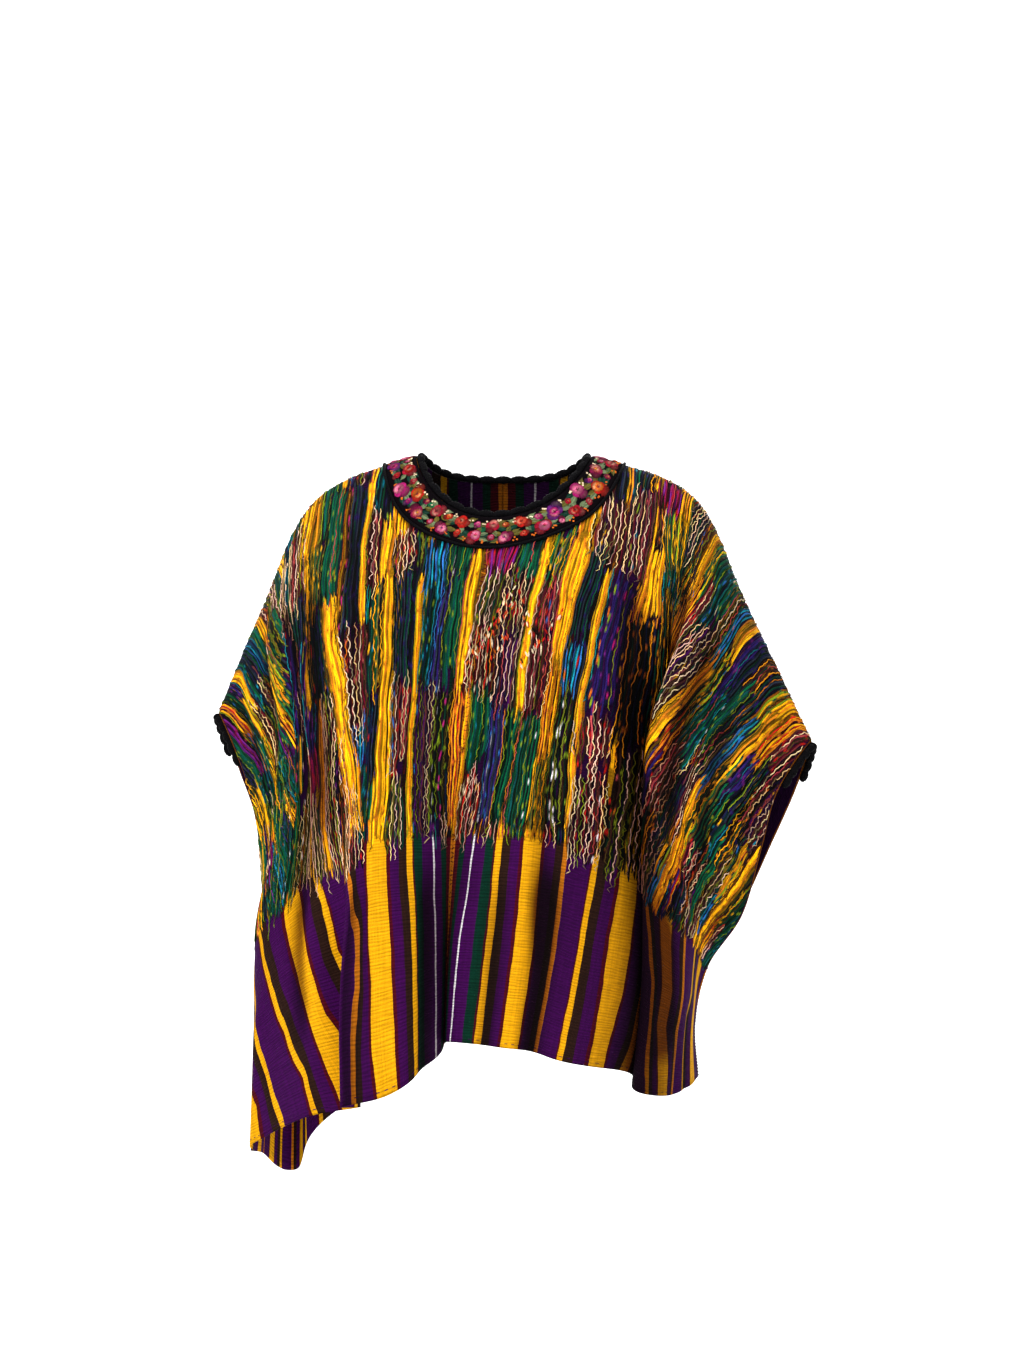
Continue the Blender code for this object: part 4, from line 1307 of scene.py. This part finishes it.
class HUIPIL_OT_studio(bpy.types.Operator):
    """Set the pale floor, the soft lights and the camera"""

    bl_idname = "huipil.studio"
    bl_label = "Studio"

    def execute(self, context):
        bm = bmesh.new()
        bmesh.ops.create_grid(bm, x_segments=1, y_segments=1, size=FLOOR_HALF)
        for vert in bm.verts:
            vert.co.z = FLOOR_HEIGHT
            vert.co.y += FLOOR_MIDDLE
        far = [edge for edge in bm.edges if all(vert.co.y > FLOOR_MIDDLE for vert in edge.verts)]
        raised = bmesh.ops.extrude_edge_only(bm, edges=far)["geom"]
        for item in raised:
            if isinstance(item, bmesh.types.BMVert):
                item.co.z += WALL_HEIGHT
        mesh = bpy.data.meshes.new("studio_floor")
        bm.to_mesh(mesh)
        bm.free()
        floor = bpy.data.objects.new("studio_floor", mesh)
        context.scene.collection.objects.link(floor)
        mesh.materials.append(pale_finish("studio_pale", PALE))
        bend = floor.modifiers.new("sweep", "BEVEL")
        bend.width = CORNER_RADIUS
        bend.segments = CORNER_STEPS
        mesh.shade_smooth()
        for name, place, aim, size, power in STUDIO_LIGHTS:
            lamp = bpy.data.lights.new(name, "AREA")
            lamp.energy = power
            lamp.size = size
            light = bpy.data.objects.new(name, lamp)
            light.location = place
            light.rotation_euler = (Vector(aim) - Vector(place)).to_track_quat("-Z", "Y").to_euler()
            context.scene.collection.objects.link(light)
        world = bpy.data.worlds.new("studio_world")
        world.use_nodes = True
        sky = world.node_tree.nodes["Background"]
        sky.inputs["Color"].default_value = (1.0, 1.0, 1.0, 1.0)
        sky.inputs["Strength"].default_value = SKY_STRENGTH
        context.scene.world = world
        context.scene.view_settings.view_transform = "Standard"
        eye = bpy.data.cameras.new("photo_camera")
        eye.lens = CAMERA_LENS
        eye.sensor_width = CAMERA_SENSOR
        eye.clip_end = CAMERA_REACH
        camera = bpy.data.objects.new("photo_camera", eye)
        camera.location = CAMERA_PLACE
        camera.rotation_euler = (math.pi / 2, 0.0, 0.0)
        context.scene.collection.objects.link(camera)
        context.scene.camera = camera
        return {"FINISHED"}


class HUIPIL_PT_pieces(bpy.types.Panel):
    """The blouse's pieces and sizes"""

    bl_idname = "HUIPIL_PT_pieces"
    bl_label = "Huipil Blouse"
    bl_space_type = "VIEW_3D"
    bl_region_type = "UI"
    bl_category = "Huipil"

    def draw(self, context):
        for name in HuipilSettings.__annotations__:
            self.layout.prop(context.scene.huipil, name)
        for operator in OPERATORS:
            self.layout.operator(operator.bl_idname)


OPERATORS = (
    HUIPIL_OT_panels, HUIPIL_OT_brocade, HUIPIL_OT_flower_band, HUIPIL_OT_edgings, HUIPIL_OT_seams,
    HUIPIL_OT_studio,
)
CLASSES = (HuipilSettings, *OPERATORS, HUIPIL_PT_pieces)


def register():
    """Adds the blouse's operators, panel and settings."""
    for cls in CLASSES:
        bpy.utils.register_class(cls)
    bpy.types.Scene.huipil = bpy.props.PointerProperty(type=HuipilSettings)


def unregister():
    """Takes them away again."""
    del bpy.types.Scene.huipil
    for cls in reversed(CLASSES):
        bpy.utils.unregister_class(cls)


def main():
    """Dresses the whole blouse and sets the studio."""
    register()
    bpy.ops.huipil.panels()
    bpy.ops.huipil.brocade()
    bpy.ops.huipil.flower_band()
    bpy.ops.huipil.edgings()
    bpy.ops.huipil.seams()
    bpy.ops.huipil.studio()


if __name__ == "__main__":
    main()
